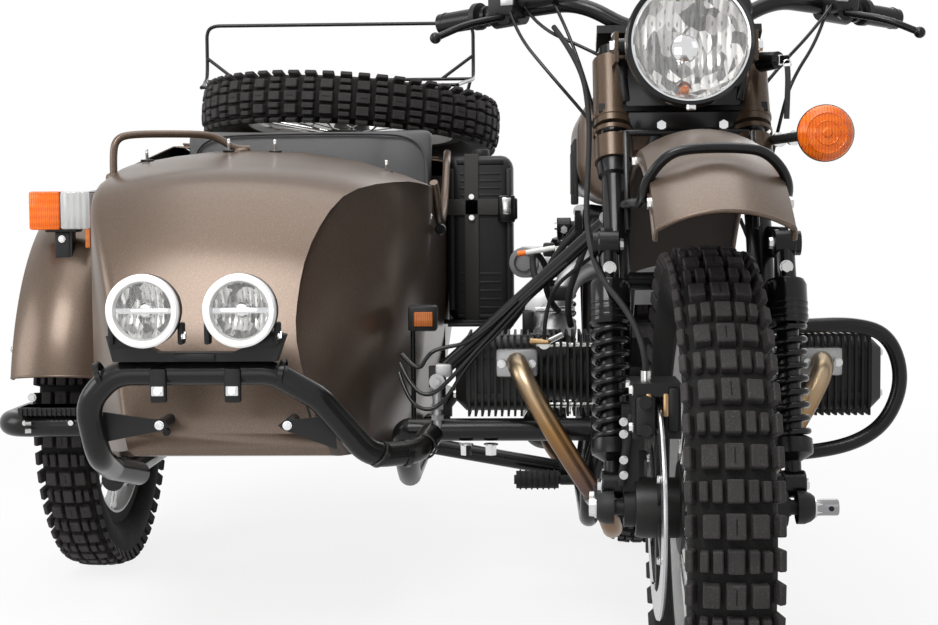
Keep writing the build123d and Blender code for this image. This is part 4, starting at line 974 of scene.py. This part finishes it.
ventHose = [(-120, 600, 720), (-150, 600, 640), (-170, 610, 580), (-160, 640, 540)]
airHose = [(-214, 640, 600), (-226, 650, 640), (-222, 700, 668), (-200, 740, 640), (-190, 760, 600)]
plugLead = [(-206, 560, 524), (-206, 540, 556), (-190, 560, 610), (-150, 600, 640), (-120, 640, 660)]
leftLead = [(120, 600, 720), (150, 600, 650), (160, 620, 590), (150, 650, 540)]
caseLead = [(-96, 560, 430), (-120, 530, 480), (-122, 520, 560), (-96, 520, 640), (-80, 540, 700)]
pipe("engineHoses", [rightHose, ventHose, airHose, leftHose], 5.5, softRubber)
engineLeads = [plugLead, mirrored(plugLead), leftLead, caseLead, mirrored(caseLead)]
pipe("engineLeads", engineLeads, 3.4, softRubber)

# Exhausts: clamps, muffler skins with bands and end caps, header pipes
clamps = [[(side * 127, 506, 278), (side * 117, 514, 264)] for side in (-1, 1)]
pipe("exhaustClamps", clamps, 20.5, alloy, curved=False, sides=8)
muffler = {"x": 200, "axis": (0, 1, 0.0645)}
bm = bmesh.new()
for side in (-1, 1):
    for y, z in ((1236, 291), (1812, 328)):
        band = [(46.2, -8), (47.6, -7), (47.6, 7), (46.2, 8)]
        lathe(bm, band, (side * muffler["x"], y, z), muffler["axis"], 56)
    end = [(46, 0), (40, 6), (20, 8), (17, 8), (17, -20), (0, -20)]
    lathe(bm, end, (side * muffler["x"], 1840, 330), muffler["axis"])
    boxy(bm, (side * muffler["x"], 1500, 356), (30, 40, 18), 4, slot=1)
for side in (-1, 1):
    skin = [(16, -14), (30, -10), (44, 4), (46, 12), (46, 600), (42, 612), (30, 620), (17, 622)]
    lathe(bm, skin, (side * muffler["x"], 1220, 290), muffler["axis"], 56, 2)
piece("mufflerShells", bm, [steel, blackSatin, blackGloss])
header = [(252, 574, 484), (251, 546, 484), (240, 516, 462), (212, 504, 412), (166, 500, 336)]
header += [(134, 502, 286), (112, 520, 258), (94, 570, 206), (90, 660, 190), (90, 900, 190)]
header += [(100, 1060, 192), (160, 1150, 224), (198, 1200, 270), (200, 1232, 291)]
pipe("rightExhaustPipe", [mirrored(header)], 17, pipeTint, "chassis", ("exhausts",))
pipe("leftExhaustPipe", [header], 17, pipeTint)

# Crash bar, grab rail and sidecar ladder frame with its lugs
crashRoute = [(96, 514, 543), (200, 518, 546), (296, 520, 550), (352, 524, 530), (374, 524, 462),
              (352, 524, 394), (304, 526, 356), (228, 532, 338), (140, 537, 332)]
pipe("crashBarTube", [crashRoute], 12, blackSatin, "chassis", ("crash_bar",))
railRoute = [(-994, 868, 800), (-996, 870, 846), (-990, 877, 874), (-966, 890, 882), (-900, 934, 884),
             (-836, 975, 884), (-812, 984, 872), (-790, 990, 856), (-764, 999, 857)]
pipe("grabRailTube", [railRoute], 7, bronze, "chassis", ("grab_rail",))
railX, outerX, railZ = -440, -950, 278
ladder = [[(railX, 690, railZ), (railX, 1960, railZ)], [(outerX, 640, railZ), (outerX, 1960, railZ)]]
ladder += [[(outerX, y, railZ), (railX, y, railZ)] for y in (1070, 1380, 1900)]
bend = [(-428, 560, 374), (railX, 562, 372), (railX, 580, 352), (railX, 640, 300), (railX, 690, railZ)]
straight = {"curved": False, "sides": 8}
pipe("sidecarRails", ladder, 20, blackSatin, "chassis", ("sidecar_frame",), **straight)
pipe("sidecarFrontTube", [[(-131, 560, 374), (-432, 560, 374)]], 19, blackSatin, **straight)
pipe("sidecarFrontBend", [bend], 20, blackSatin, sides=8)
pipe("sidecarLowerStrut", [[(railX, 1060, railZ), (-150, 1060, 226)]], 16, blackSatin, **straight)
bm = bmesh.new()
for y in (1070, 1380):
    for x in (-900, -540):
        boxy(bm, (x, y, 292), (52, 30, 27), 2)
boxy(bm, (-981, 1150, 276), (62, 40, 24), 2)
boxy(bm, (-1009.5, 1150, 422), (5, 40, 316), 1)
boxy(bm, (-981, 862, 276), (62, 48, 24), 2)
boxy(bm, (-1009.5, 862, 320), (5, 48, 112), 1)
bar(bm, (-1058, 1150, 560), (-1008, 1150, 560), 7)
bar(bm, (-1030, 930, 278), (-950, 930, 278), 15, sides=28)
boxy(bm, (-421, 1250, 294), (50, 24, 32), 3)
boxy(bm, (-928, 650, 284), (44, 26, 24), 4)
piece("sidecarFrameLugs", bm, [blackSatin])
print("engine dressed")

# Sidecar body: sections along its length, skinned and given its openings
bodySpec = {
    "wall": 3.2, "low": 26.0, "sill": 14.0, "cowl": 1000, "bulkhead": 1384, "boot": 1440, "bootEnd": 2008,
}
columns = ("y", "left", "leftZ", "crown", "crownZ", "right", "rightZ", "waist", "waistZ", "low", "lowZ")
# a height of 0 stands for the sloping deck's height at that place
rows = [
    (492, -890, 376, -740, 380, -570, 376, -560, 360, -552, 342),
    (530, -913, 505, -760, 520, -611, 512, -585, 430, -546, 335),
    (570, -935, 588, -770, 604, -615, 596, -578, 460, -540, 330),
    (620, -962, 668, -780, 690, -600, 680, -556, 490, -530, 325),
    (720, -1000, 766, -780, 790, -551, 765, -508, 520, -512, 318),
    (850, -1006, 806, -770, 825, -464, 790, -456, 545, -490, 308),
    (1000, -1006, 828, -763, 855, -413, 782, -424, 565, -470, 306),
    (1420, -1006, 0, -740, 0, -405, 0, -405, 570, -440, 306),
    (1780, -1004, 0, -720, 0, -405, 0, -405, 580, -440, 320),
    (2060, -975, 0, -710, 0, -435, 0, -430, 620, -460, 430),
]


def deckHeight(x, y):
    return deckAt[2] - (x - deckAt[0]) * deckRoll - (y - deckAt[1]) * deckPitch


sections = []
for row in rows:
    at = dict(zip(columns, row))
    for name in ("left", "crown", "right"):
        if at[name + "Z"] == 0:
            at[name + "Z"] = deckHeight(at[name], at["y"])
    sections.append(at)
cowlRow = [at["y"] for at in sections].index(bodySpec["cowl"])


def sectionAt(y):
    # one section of the body between the rows, on a smooth curve through them
    for index in range(len(sections) - 1):
        if sections[index]["y"] <= y <= sections[index + 1]["y"]:
            break
    first, second = sections[index], sections[index + 1]
    before, after = sections[max(index - 1, 0)], sections[min(index + 2, len(sections) - 1)]
    span = second["y"] - first["y"]
    t = (y - first["y"]) / span
    found = {"y": y}
    for name in columns[1:]:
        slopeA = (second[name] - before[name]) / (second["y"] - before["y"]) * span
        slopeB = (after[name] - first[name]) / (after["y"] - first["y"]) * span
        # from the cowl's end backward the rows are joined by straight lines
        if index >= cowlRow:
            slopeA = slopeB = second[name] - first[name]
        if index == cowlRow - 1:
            slopeB = (second[name] - first[name]) * 0.6
        found[name] = (first[name] * (2 * t ** 3 - 3 * t ** 2 + 1) + slopeA * (t ** 3 - 2 * t ** 2 + t)
                       + second[name] * (3 * t ** 2 - 2 * t ** 3) + slopeB * (t ** 3 - t ** 2))
    return found


# the cockpit's right edge, as (y, z)
dip = [(1000, 782), (1012, 790), (1030, 760), (1046, 732), (1075, 719), (1104, 716), (1160, 722), (1236, 758),
       (1290, 800), (1336, 840), (1384, 852)]


def dipAt(y, otherwise):
    if not bodySpec["cowl"] < y < bodySpec["bulkhead"]:
        return otherwise
    for (ya, za), (yb, zb) in zip(dip, dip[1:]):
        if ya <= y <= yb:
            return za + (zb - za) * (y - ya) / (yb - ya)


def outline(at):
    y = at["y"]
    rise = at["leftZ"] - at["lowZ"] - bodySpec["low"]
    corner = min(20.0, rise * 0.8, (at["crown"] - at["left"]) * 0.2)
    points = [(at["left"] + bodySpec["sill"], at["lowZ"]), (at["left"] + 4, at["lowZ"] + 8),
              (at["left"], at["lowZ"] + bodySpec["low"])]
    for share in (0.3, 0.62):
        points.append((at["left"], at["lowZ"] + bodySpec["low"] + (rise - corner) * share))
    top = at["leftZ"]
    tilt = (at["crownZ"] - top) / (at["crown"] - at["left"])
    points += [(at["left"], top - corner), (at["left"] + corner * 0.09, top - corner * 0.6)]
    points += [(at["left"] + corner * 0.3, top - corner * 0.24),
               (at["left"] + corner * 0.62, top - corner * 0.04)]
    points += [(at["left"] + corner, top + tilt * corner)]
    flatDeck = y > bodySpec["bulkhead"]
    for share in (0.35, 0.7):
        x = at["left"] + corner + (at["crown"] - at["left"] - corner) * share
        lift = 0 if flatDeck else (at["crownZ"] - top) * (1 - (1 - share) ** 2)
        points.append((x, deckHeight(x, y) if flatDeck else top + lift))
    points.append((at["crown"], at["crownZ"]))
    rightZ = dipAt(y, at["rightZ"])
    for share in (0.3, 0.6, 0.86):
        x = at["crown"] + (at["right"] - at["crown"]) * share
        drop = (at["crownZ"] - at["rightZ"]) * share ** 2.2
        points.append((x, deckHeight(x, y) if flatDeck else at["crownZ"] - drop))
    points.append((at["right"], rightZ))
    for share in (0.06, 0.3, 0.6):
        bow = sin(share * pi) * (-6 if y < 950 else 0)
        x = at["right"] + (at["waist"] - at["right"]) * share - (7 if share == 0.06 and y < 960 else 0)
        points.append((x + bow, rightZ + (at["waistZ"] - rightZ) * share))
    points.append((at["waist"], at["waistZ"]))
    for share in (0.4, 0.8):
        points.append((at["waist"] + (at["low"] - at["waist"]) * share ** 1.5,
                       at["waistZ"] + (at["lowZ"] - at["waistZ"]) * share))
    points.append((at["low"], at["lowZ"]))
    for share in (0.33, 0.67):
        points.append((at["low"] + (at["left"] + bodySpec["sill"] - at["low"]) * share, at["lowZ"]))
    return points


cuts = [492, 500, 511, 522, 535, 550, 565, 582, 600, 625, 650, 680, 715, 750, 790, 830, 880, 930, 970, 1000]
cuts += [1012, 1030, 1046, 1075, 1104, 1160, 1236, 1290, 1336, 1384, 1440, 1540, 1640, 1780, 1900, 2008, 2060]
bm = bmesh.new()
rings = []
for y in cuts:
    rings.append([bm.verts.new((x, y, z)) for x, z in outline(sectionAt(y))])
count = len(rings[0])
topFirst, topLast = 9, 16
for index in range(len(rings) - 1):
    here, there = rings[index], rings[index + 1]
    inCockpit = bodySpec["cowl"] <= cuts[index] and cuts[index + 1] <= bodySpec["bulkhead"]
    inBoot = bodySpec["boot"] <= cuts[index] and cuts[index + 1] <= bodySpec["bootEnd"]
    for k in range(count):
        if (inCockpit and topFirst - 1 <= k < topLast) or (inBoot and topFirst <= k < topLast - 1):
            continue
        bm.faces.new((here[k], here[(k + 1) % count], there[(k + 1) % count], there[k]))
bm.faces.new(rings[0])
bm.faces.new(list(reversed(rings[-1])))
piece("sidecarShell", bm, [bronze, darkInside], "chassis", ("sidecar_body",), angle=33, wall=bodySpec["wall"])
bm = bmesh.new()
boxy(bm, (-733, 1175, 416.5), (540, 280, 5), 1)
boxy(bm, (-706, 1402, 570), (586, 6, 480), 1)
piece("cockpitFloorAndBulkhead", bm, [darkInside])
print("sidecar shell made")

# Coaming tube, cowl fasteners, knob, grab rail feet, side repeater, strut eyes and leads
coaming = [(-412, 1004, 790), (-408, 1020, 772), (-406, 1046, 730), (-405, 1104, 712), (-404, 1170, 722),
           (-403, 1236, 756), (-403, 1300, 808), (-403, 1340, 846), (-405, 1400, 858)]
pipe("coamingTube", [coaming], 8.0, bronze)
bm = bmesh.new()
for x, z in ((-958, 838), (-800, 855), (-712, 853), (-500, 812)):
    y = 988
    boxy(bm, (x, y - 4, z - 2), (24, 12, 4), 1.5, slot=1)
    bar(bm, (x, y - 6, z), (x, y - 10, z + 13), 3.2, sides=16)
    boxy(bm, (x, y - 10, z + 14), (6, 4, 13), 1.5)
lathe(bm, [(0, 9), (9, 8), (11, 4), (10, 0), (7, -2), (7, -14)], (-402, 1030, 700), (0.3, -1, 0), 28, 1)
lathe(bm, [(0, 5), (7, 5), (9.5, 2.5), (10, 0), (10, -6)], (-424, 996, 724), (0.2, -1, 0.1), 28)
piece("cowlFasteners", bm, [steel, blackSatin])
bm = bmesh.new()
for foot in ((-994, 868, 803), (-780, 990, 852)):
    lathe(bm, [(7.2, 8), (13, 5), (15, 1), (15, -5)], foot, (0, -0.2, 1), 32)
piece("grabRailFeet", bm, [bronze])
pipe("socketBox", [[(-440, 800, 300), (-440, 800, 520)]], 4.5, blackSatin, curved=False)
bm = bmesh.new()
boxy(bm, (-422, 800, 544), (52, 36, 46), 5)
boxy(bm, (-420, 780, 543), (34, 5, 26), 2, slot=1)
piece("sideRepeaterBox", bm, [plasticBlack, amberDark])
bm = bmesh.new()
bar(bm, (-383, 548, 374), (-383, 548, 452), 8)
lathe(bm, [(6, -6), (13, -6), (13, 6), (6, 6), (6, -6)], (-383, 545, 456), toRear, 32)
bolt(bm, (-383, 538, 456), toFront, 6)
for z in (392, 410):
    bar(bm, (-383, 548, z), (-383, 548, z + 8), 11, sides=6)
for x in (-336, -295):
    bolt(bm, (x, 550, 352), toFloor, 10.5, 1, 1.6)
boxy(bm, (-372, 552, 474), (28, 24, 22), 4)
for x in (-108, -96):
    bolt(bm, (x, 478, 724), toFront, 9)
piece("strutEyesAndBolts", bm, [alloy, chrome])
leads = [
    [(-444, 552, 486), (-424, 528, 446), (-392, 520, 432), (-352, 524, 470), (-300, 520, 528),
     (-230, 518, 602), (-168, 512, 652)],
    [(-446, 556, 470), (-430, 530, 424), (-396, 524, 408), (-366, 528, 428), (-330, 526, 490),
     (-262, 522, 556), (-190, 518, 640)],
    [(-442, 560, 500), (-414, 536, 470), (-398, 530, 500), (-380, 534, 512), (-318, 524, 522),
     (-250, 520, 590)],
]
pipe("sidecarLeads", leads, 3.4, blackGloss)

# Boot lid pads, latches, edge bead and rack
bm = bmesh.new()
for u, v in ((-120, -18), (-20, -120), (60, 60), (160, -60)):
    lathe(bm, [(0, 9), (8, 8), (11, 4), (12, 0)], onDeck(u - 60, v - 60, 4.3), deckUp, 24)
for u in (-220, 215):
    centre = onDeck(u, -228, 9)
    lathe(bm, [(0, 5), (14, 5), (17, 2), (18, -4)], centre, deckUp, 32)
    boxy(bm, centre + deckUp * 9, (34, 9, 14), 3, slot=1)
piece("bootLidLatches", bm, [blackSatin, blackSatin], "boot_lid")
seam = [onDeck(-281, -250, 5), onDeck(275, -250, 5), onDeck(275, 334, 5), onDeck(-281, 334, 5),
        onDeck(-281, -250, 5)]
pipe("bootLidEdge", [[tuple(p) for p in seam]], 2.4, bronze, "boot_lid", curved=False)
rackX = -702
rackHalf = [(-1006, 1770, 1030), (-1018, 1870, 1044), (-1036, 1960, 1056), (-1036, 1996, 1066)]
rackHalf += [(-1036, 2004, 1100), (-1036, 2004, 1150), (-1036, 2004, 1186), (-1020, 2004, 1200),
             (-980, 2004, 1200)]
hoop = rackHalf + [(-800, 2004, 1200), (-600, 2004, 1200)]
hoop += [(2 * rackX - x, y, z) for x, y, z in reversed(rackHalf)]
rackBars = [[(-1030, 1980, 1060), (-368, 1980, 1060)], [(-1006, 1780, 1031), (-398, 1780, 1031)]]
rackBars += [[(x, 1780, 1031), (x, 1980, 1060)] for x in (-860, rackX, -544)]
rackBars += [[(-1036, 2004, 1120), (-960, 1980, 1062)], [(-368, 2004, 1120), (-444, 1980, 1062)]]
rackBars += [[(-1030, 1976, 1058), (-955, 1996, 842)], [(-374, 1976, 1058), (-447, 1996, 790)]]
pipe("rackTubes", [hoop], 4.5, blackSatin, "boot_lid", ("luggage_rack",))
pipe("rackBars", rackBars, 4.2, blackSatin, "boot_lid", curved=False)

# Fuel can with pressed ribs, straps and latch
can = {"x": -333.5, "z": 673.5, "edge": 24.0}
cx, cz = can["x"], can["z"]
bm = bmesh.new()
boxy(bm, (cx, 1477, cz), (137, 244, 355), can["edge"], steps=4)
for face in (1355.5, 1598.5):
    for x, z, w, h in ((cx, 838, 100, 12), (cx, 509, 100, 12), (-394, cz, 11, 300), (-273, cz, 11, 300)):
        boxy(bm, (x, face, z), (w, 7, h), 3)
for k in range(7):
    boxy(bm, (cx, 1356.5, 812 - k * 15), (88, 5, 6), 2)
for k in range(5):
    boxy(bm, (cx, 1356.5, 600 - k * 18), (88, 5, 7), 2)
bar(bm, (cx, 1412, 846), (cx, 1412, 866), 19, 18, 32, 3)
boxy(bm, (cx, 1500, 854), (26, 110, 12), 4)
piece("fuelCanShell", bm, [plasticBlack], "chassis", ("jerry_can",), angle=40)
bm = bmesh.new()
boxy(bm, (cx, 1476, 742), (142, 254, 34), 2)
boxy(bm, (-352, 1476, cz), (30, 254, 362), 2)
boxy(bm, (-278, 1346, 738), (36, 9, 58), 4, slot=1)
boxy(bm, (-278, 1340, 744), (20, 7, 36), 3, slot=2)
boxy(bm, (-262, 1352, 738), (14, 20, 46), 4, slot=1)
boxy(bm, (-346, 1340, 500), (132, 26, 9), 2, slot=1)
for z in (764, 720):
    bolt(bm, (-352, 1344, z), toFront, 5, 2)
piece("fuelCanStraps", bm, [strapCloth, blackSatin, steel])

# Bumper rings, brackets, clamps and the foot pad's ribs
bm = bmesh.new()
rings = [((-616, 388, 487), (0.9, 0, -0.15)), ((-470, 436, 352), (0.55, 0.55, -0.5))]
rings += [((-430, 464, 349), (0.7, 0.5, 0)), ((-403, 500, 356), (0.2, 0.95, 0.2)),
          ((-902, 389, 484), (-0.9, 0, -0.3))]
for centre, axis in rings:
    lathe(bm, [(20, -5), (22.5, -4), (22.5, 4), (20, 5)], centre, axis, 40)
plates = ([(-908, 422), (-812, 408), (-803, 400), (-812, 393), (-908, 374)],
          [(-540, 416), (-620, 407), (-629, 400), (-620, 393), (-536, 362)])
for plate in plates:
    slab(bm, plate, 421, 7, 1)
for x, z, stubX in ((-818, 401, -822), (-614, 400, -592)):
    bolt(bm, (x, 421, z), toFront, 6.5, 2)
    bar(bm, (stubX, 500, 382), (stubX, 488, 380), 6, sides=20, slot=1)
    bar(bm, (x, 428, z), (x, 506, z), 9, sides=20, slot=1)
for x in (-806, -690):
    boxy(bm, (x, 368, 470), (26, 12, 54), 4, slot=1)
    boxy(bm, (x, 362, 462), (20, 8, 16), 2, slot=2)
    bolt(bm, (x, 360, 462), toFront, 6, 2)
piece("bumperFittings", bm, [tubeGrey, blackCast, chrome])
bm = bmesh.new()
boxy(bm, (-1117, 864, 375), (114, 66, 10), 3)
for k in range(12):
    boxy(bm, (-1166 + k * 9, 832, 372), (4.2, 8, 14), 1)
for x in (-1160, -1075):
    bar(bm, (x, 838, 352), (x, 830, 352), 5, sides=20, slot=1)
piece("stepPadRibs", bm, [softRubber, steel])

# Fog lamps
fog = {"xs": (-820.0, -671.0), "y": 325.0, "z": 588.0}
fogShell = [(52, 10), (56, 9), (56.5, 14), (56.5, 26), (53, 34), (52, 50), (44, 70), (26, 82), (0, 84)]
fogRing = [(43, 8), (46, 1.2), (53, 0.3), (56.5, 2.5), (56.5, 11), (54, 12), (43, 12), (43, 8)]
bm = bmesh.new()
for x in fog["xs"]:
    at = (x, fog["y"], fog["z"])
    lathe(bm, fogShell, at, toRear, 72)
    lathe(bm, fogRing, at, toRear, 72, 3)
    for k in range(48):
        a = 2 * pi * k / 48
        spot = Vector(at) + Vector((50 * cos(a), 0.9, 50 * sin(a)))
        boxy(bm, spot, (3.4, 1.6, 3.4), 0.5, Matrix.Rotation(a, 4, "Y"), 3)
    bar(bm, (x + 52, 352, 548), (x + 58, 352, 548), 8, slot=1)
    bolt(bm, (x + 56, 352, 548), toLeft, 7, 2)
    for side in (54, -54):
        boxy(bm, (x + side, 356, 552), (9, 22, 34), 3, slot=1)
plate = [(-884, 548), (-874, 508), (-620, 508), (-606, 548), (-632, 556)]
plate += [(-660, 534), (-688, 522), (-804, 522), (-826, 534), (-846, 556)]
slab(bm, plate, 356, 32, 1)
boxy(bm, (-746, 354, 515), (64, 5, 10), 2, slot=1)
for x in (-862, -630):
    boxy(bm, (x, 368, 540), (34, 30, 26), 8, slot=1)
fogBezel = bareMetal("fogBezel", (0.93, 0.93, 0.92), 0.3, (260, 260, 260), 0.25, 0.55)
piece("fogLampShells", bm, [plasticBlack, blackCast, chrome, fogBezel], "chassis", ("fog_lamps",))
bm = bmesh.new()
for x in fog["xs"]:
    lathe(bm, [(49, 12), (44, 26), (30, 44), (14, 52), (0, 53)], (x, fog["y"], fog["z"]), toRear, 64)
    lathe(bm, [(0, 22), (9, 23), (12, 27), (12, 44)], (x, fog["y"], fog["z"]), toRear, 28, 1)
    boxy(bm, (x, fog["y"] + 12, fog["z"]), (94, 4, 9), 1, slot=1)
piece("fogLampBowls", bm, [fogBowlPaintedReflection, chrome], clean=False)
bm = bmesh.new()
for x in fog["xs"]:
    lathe(bm, [(49.6, 7), (46, 4.4), (34, 2), (16, 0.4), (0, 0)], (x, fog["y"] + 1, fog["z"]), toRear, 64)
piece("fogLampGlass", bm, fogGlass, wall=2.0)
print("fog lamps made")

# Lips of the sidecar and rear fenders, bolts, marker lamps, the tail lamp and the bare plate
fenderLip("sidecarFenderLip", sideSpec, (-77.8, 74.8), range(-78, 76, 9), 2.6, "chassis", sideFenderX)
fenderLip("rearFenderLip", rearSpec, (-29.8, 95.8), range(-30, 97, 9), 2.4, "chassis")
bm = bmesh.new()
for angle in (-70, -20, 40):
    y, z = fenderPoint(sideSpec, 0, angle, 37)[1:]
    bolt(bm, (-1196, y, z), toRight, 6)
bolt(bm, (-1150, 846, 398), toFront, 7)
bar(bm, (-1185, sideAxle, wheelRadius), (-1170, sideAxle, wheelRadius), 13, sides=6)
for z in (338, 352):
    bar(bm, (-1150, 834, z), (-1160, 830, z), 5, sides=6)
piece("sidecarFenderBolts", bm, [steel])
bm = bmesh.new()
markerX = -1118
boxy(bm, (markerX, 982, 742), (108, 34, 60), 6)
boxy(bm, (-1066, 962, 700), (9, 22, 26), 2)
boxy(bm, (markerX, 968, 706), (62, 40, 10), 3)
boxy(bm, (markerX, 968, 672), (30, 24, 60), 4)
bolt(bm, (markerX, 954, 688), toFront, 6, 5)
boxy(bm, (-1147, 970, 742), (60, 60, 73), 5, slot=1)
boxy(bm, (-1088, 970, 742), (58, 60, 72), 5, slot=2)
boxy(bm, (-1066, 948, 690), (10, 8, 38), 2, slot=3)
boxy(bm, (0, 1880, 575), (84, 30, 74), 7)
boxy(bm, (0, 1901.5, 520), (194, 4.4, 182), 1)
boxy(bm, (0, 1907, 582), (96, 12, 52), 5)
boxy(bm, (0, 1914, 582), (86, 12, 42), 4, slot=4)
boxy(bm, (0, 1906, 490), (182, 4, 104), 1.5, slot=6)
for x in (-65, 65):
    bolt(bm, (x, 1908, 480), toRear, 6, 5)
plateBlank = powder("plateBlank", (0.55, 0.55, 0.53), 0.34, 500.0, 0.04)
coats = [plasticBlack, amber, clearLens, amberDark, redLens, steel, plateBlank]
piece("markerLampLenses", bm, coats)

# Soft goods: cushions with crowned tops, drawn-in seams and welts
seamHalf = 26


def cushion(name, node, low, high, material, seams, lean=0.0, crown=16.0, inset=5.0, cuts=12):
    # a seam is its axis, its place on that axis and its depth
    bm = bmesh.new()
    bmesh.ops.create_cube(bm, size=1)
    bmesh.ops.subdivide_edges(bm, edges=bm.edges[:], cuts=cuts, use_grid_fill=True)
    size = [b - a - 2 * inset for a, b in zip(low, high)]
    thin = size.index(min(size))
    wide = [k for k in range(3) if k != thin]
    for vert in bm.verts:
        part = [2 * c for c in vert.co]
        dome = (1 - part[wide[0]] ** 4) * (1 - part[wide[1]] ** 4)
        edge = max(abs(part[wide[0]]), abs(part[wide[1]]))
        swell = part[thin] * (1 - 0.16 * edge ** 6)
        co = [(a + b) / 2 + part[k] * size[k] / 2 for k, (a, b) in enumerate(zip(low, high))]
        co[thin] = (low[thin] + high[thin]) / 2 + swell * (size[thin] / 2 - crown / 2)
        co[thin] += part[thin] * dome * crown / 2
        for k in wide:
            other = wide[1] if k == wide[0] else wide[0]
            co[k] -= part[k] ** 3 * (3.5 * (1 - part[other] ** 2)) * abs(part[k])
            co[k] += part[k] ** 5 * (1 - part[thin] ** 2) * inset * 0.9
        for axis, where, deep in seams:
            near = abs(co[axis] - where)
            if near < seamHalf:
                co[thin] -= part[thin] * deep * (1 - near / seamHalf) ** 2
        co[1] += lean * (co[2] - low[2])
        vert.co = co
    thing = piece(name, bm, material, "chassis", (node,) if node else (), angle=180, levels=2)


backLean = (48.0 - 22.0) / 484
cushion("sidecarSeatCushion", "sidecar_seat", (-983, 1046, 420), (-467, 1260, 539), cushionVinyl,
        ((0, -899, 9), (0, -551, 9), (1, 1150, 5)), crown=22)
cushion("sidecarBackRest", None, (-946, 1268, 424), (-432, 1324, 906), cushionVinyl,
        ((0, -876, 7), (0, -532, 7)), lean=backLean, crown=18, cuts=16)
cushion("riderSeatCushion", "seat", (-133, 962, 747), (133, 1518, 807), seatVinyl,
        ((1, 1235, 7),), crown=20, cuts=14)


def welt(low, high, where, lean=0.0, axis=1):
    # a rounded ring round a cushion: upright on axis 1, lying on axis 2
    other = 3 - axis
    inset = 14 if axis == 1 else 12
    points = []
    for k in range(25):
        a = 2 * pi * k / 24
        u, v = [abs(part) ** 0.28 * (1 if part > 0 else -1) for part in (cos(a), sin(a))]
        point = [(low[0] + high[0]) / 2 + u * (high[0] - low[0] - inset) / 2, 0, 0]
        point[other] = (low[other] + high[other]) / 2 + v * (high[other] - low[other] - inset) / 2
        point[axis] = where + lean * (point[other] - low[other])
        points.append(point)
    return points


restWelt = welt((-946, 0, 424), (-432, 0, 906), 1275, backLean)
pipe("backRestWelt", [restWelt], 3.2, seatVinyl, sides=3)
seatWelts = [welt((-983, 1046, 0), (-467, 1260, 0), 528, axis=2)]
seatWelts.append(welt((-133, 962, 0), (133, 1518, 0), 796, axis=2))
pipe("seatWelts", seatWelts, 3.0, seatVinyl, sides=3)
print("cushions made")

# Peg ribs and axle nuts low on the frame
bm = bmesh.new()
for side in (-1, 1):
    for k in range(7):
        lathe(bm, [(17, -2), (19.5, -1), (19.5, 1), (17, 2)], (side * (184 + k * 11), 1010, 216), toLeft, 28)
    bolt(bm, (side * 150, 1092, 345), (side, 0, 0), 12, 1)
    bolt(bm, (side * 126, rearAxle, wheelRadius), (side, 0, 0), 12, 1)
bolt(bm, (-1031, 930, 278), toLeft, 12, 1)
bolt(bm, (-1031, sideAxle, wheelRadius), toLeft, 12, 1)
piece("pegRibsAndNuts", bm, [softRubber, steel])

# Floor, background and light
stageSpec = {"world": 0.14, "near": 0.85, "farFrom": 1.5, "farSlope": 0.45, "size": 14}
floorShade = Shade("paleFloor")
bm = bmesh.new()
bmesh.ops.create_grid(bm, x_segments=1, y_segments=1, size=stageSpec["size"])
floorMesh = bpy.data.meshes.new("floor")
bm.to_mesh(floorMesh)
bm.free()
floor = bpy.data.objects.new("floor", floorMesh)
bpy.context.scene.collection.objects.link(floor)
speck = floorShade.noise(3.0, 3.0)
tone = floorShade.mix(speck * 0.2, (0.88, 0.88, 0.88), (0.84, 0.84, 0.84))
floorMaterial = floorShade.finish(tone, 0.75, None, 0.0)
x, y, z = floorShade.axes()
far = ((floorShade.math("SQRT", x * x + y * y) - stageSpec["farFrom"]) * stageSpec["farSlope"]).clamp()
glow = floorShade.node("ShaderNodeEmission", {}, {"Strength": 1.0})
share = floorShade.seen() * (far * (1 - stageSpec["near"]) + stageSpec["near"])
floorShade.brighten(share, glow, "Material Output")
floorMesh.materials.append(floorMaterial)
world = bpy.data.worlds.new("studio")
bpy.context.scene.world = world
skyShade = Shade("studio", world)
skyShade.skin.inputs["Color"].default_value = (1, 1, 1, 1)
skyShade.skin.inputs["Strength"].default_value = stageSpec["world"]
white = skyShade.node("ShaderNodeBackground", {}, {"Color": (1, 1, 1, 1), "Strength": 1.0})
skyShade.brighten(skyShade.seen(), white, "World Output")

lamps = {
    "key": ((-1500, -2300, 4000), 2.0, 165, (-500, 600, 500)),
    "fill": ((2600, -2400, 2200), 1.6, 4, (0, 400, 500)),
    "top": ((-400, 900, 4000), 3.0, 78, (-400, 900, 400)),
    "low": ((-1300, -2900, 650), 1.6, 16, (-700, 600, 420)),
    "left": ((-3900, -300, 1800), 1.8, 52, (-900, 900, 500)),
    "back": ((900, 4600, 2600), 2.6, 34, (-300, 1300, 600)),
}
for name, (origin, size, power, target) in lamps.items():
    data = bpy.data.lights.new(name, "AREA")
    data.shape = "SQUARE"
    data.size = size
    data.energy = power
    light = bpy.data.objects.new(name, data)
    start = place(*origin)
    light.rotation_euler = (place(*target) - start).to_track_quat("-Z", "Y").to_euler()
    light.location = start
    bpy.context.scene.collection.objects.link(light)

bpy.context.scene.view_settings.view_transform = "Standard"
print("scene made")
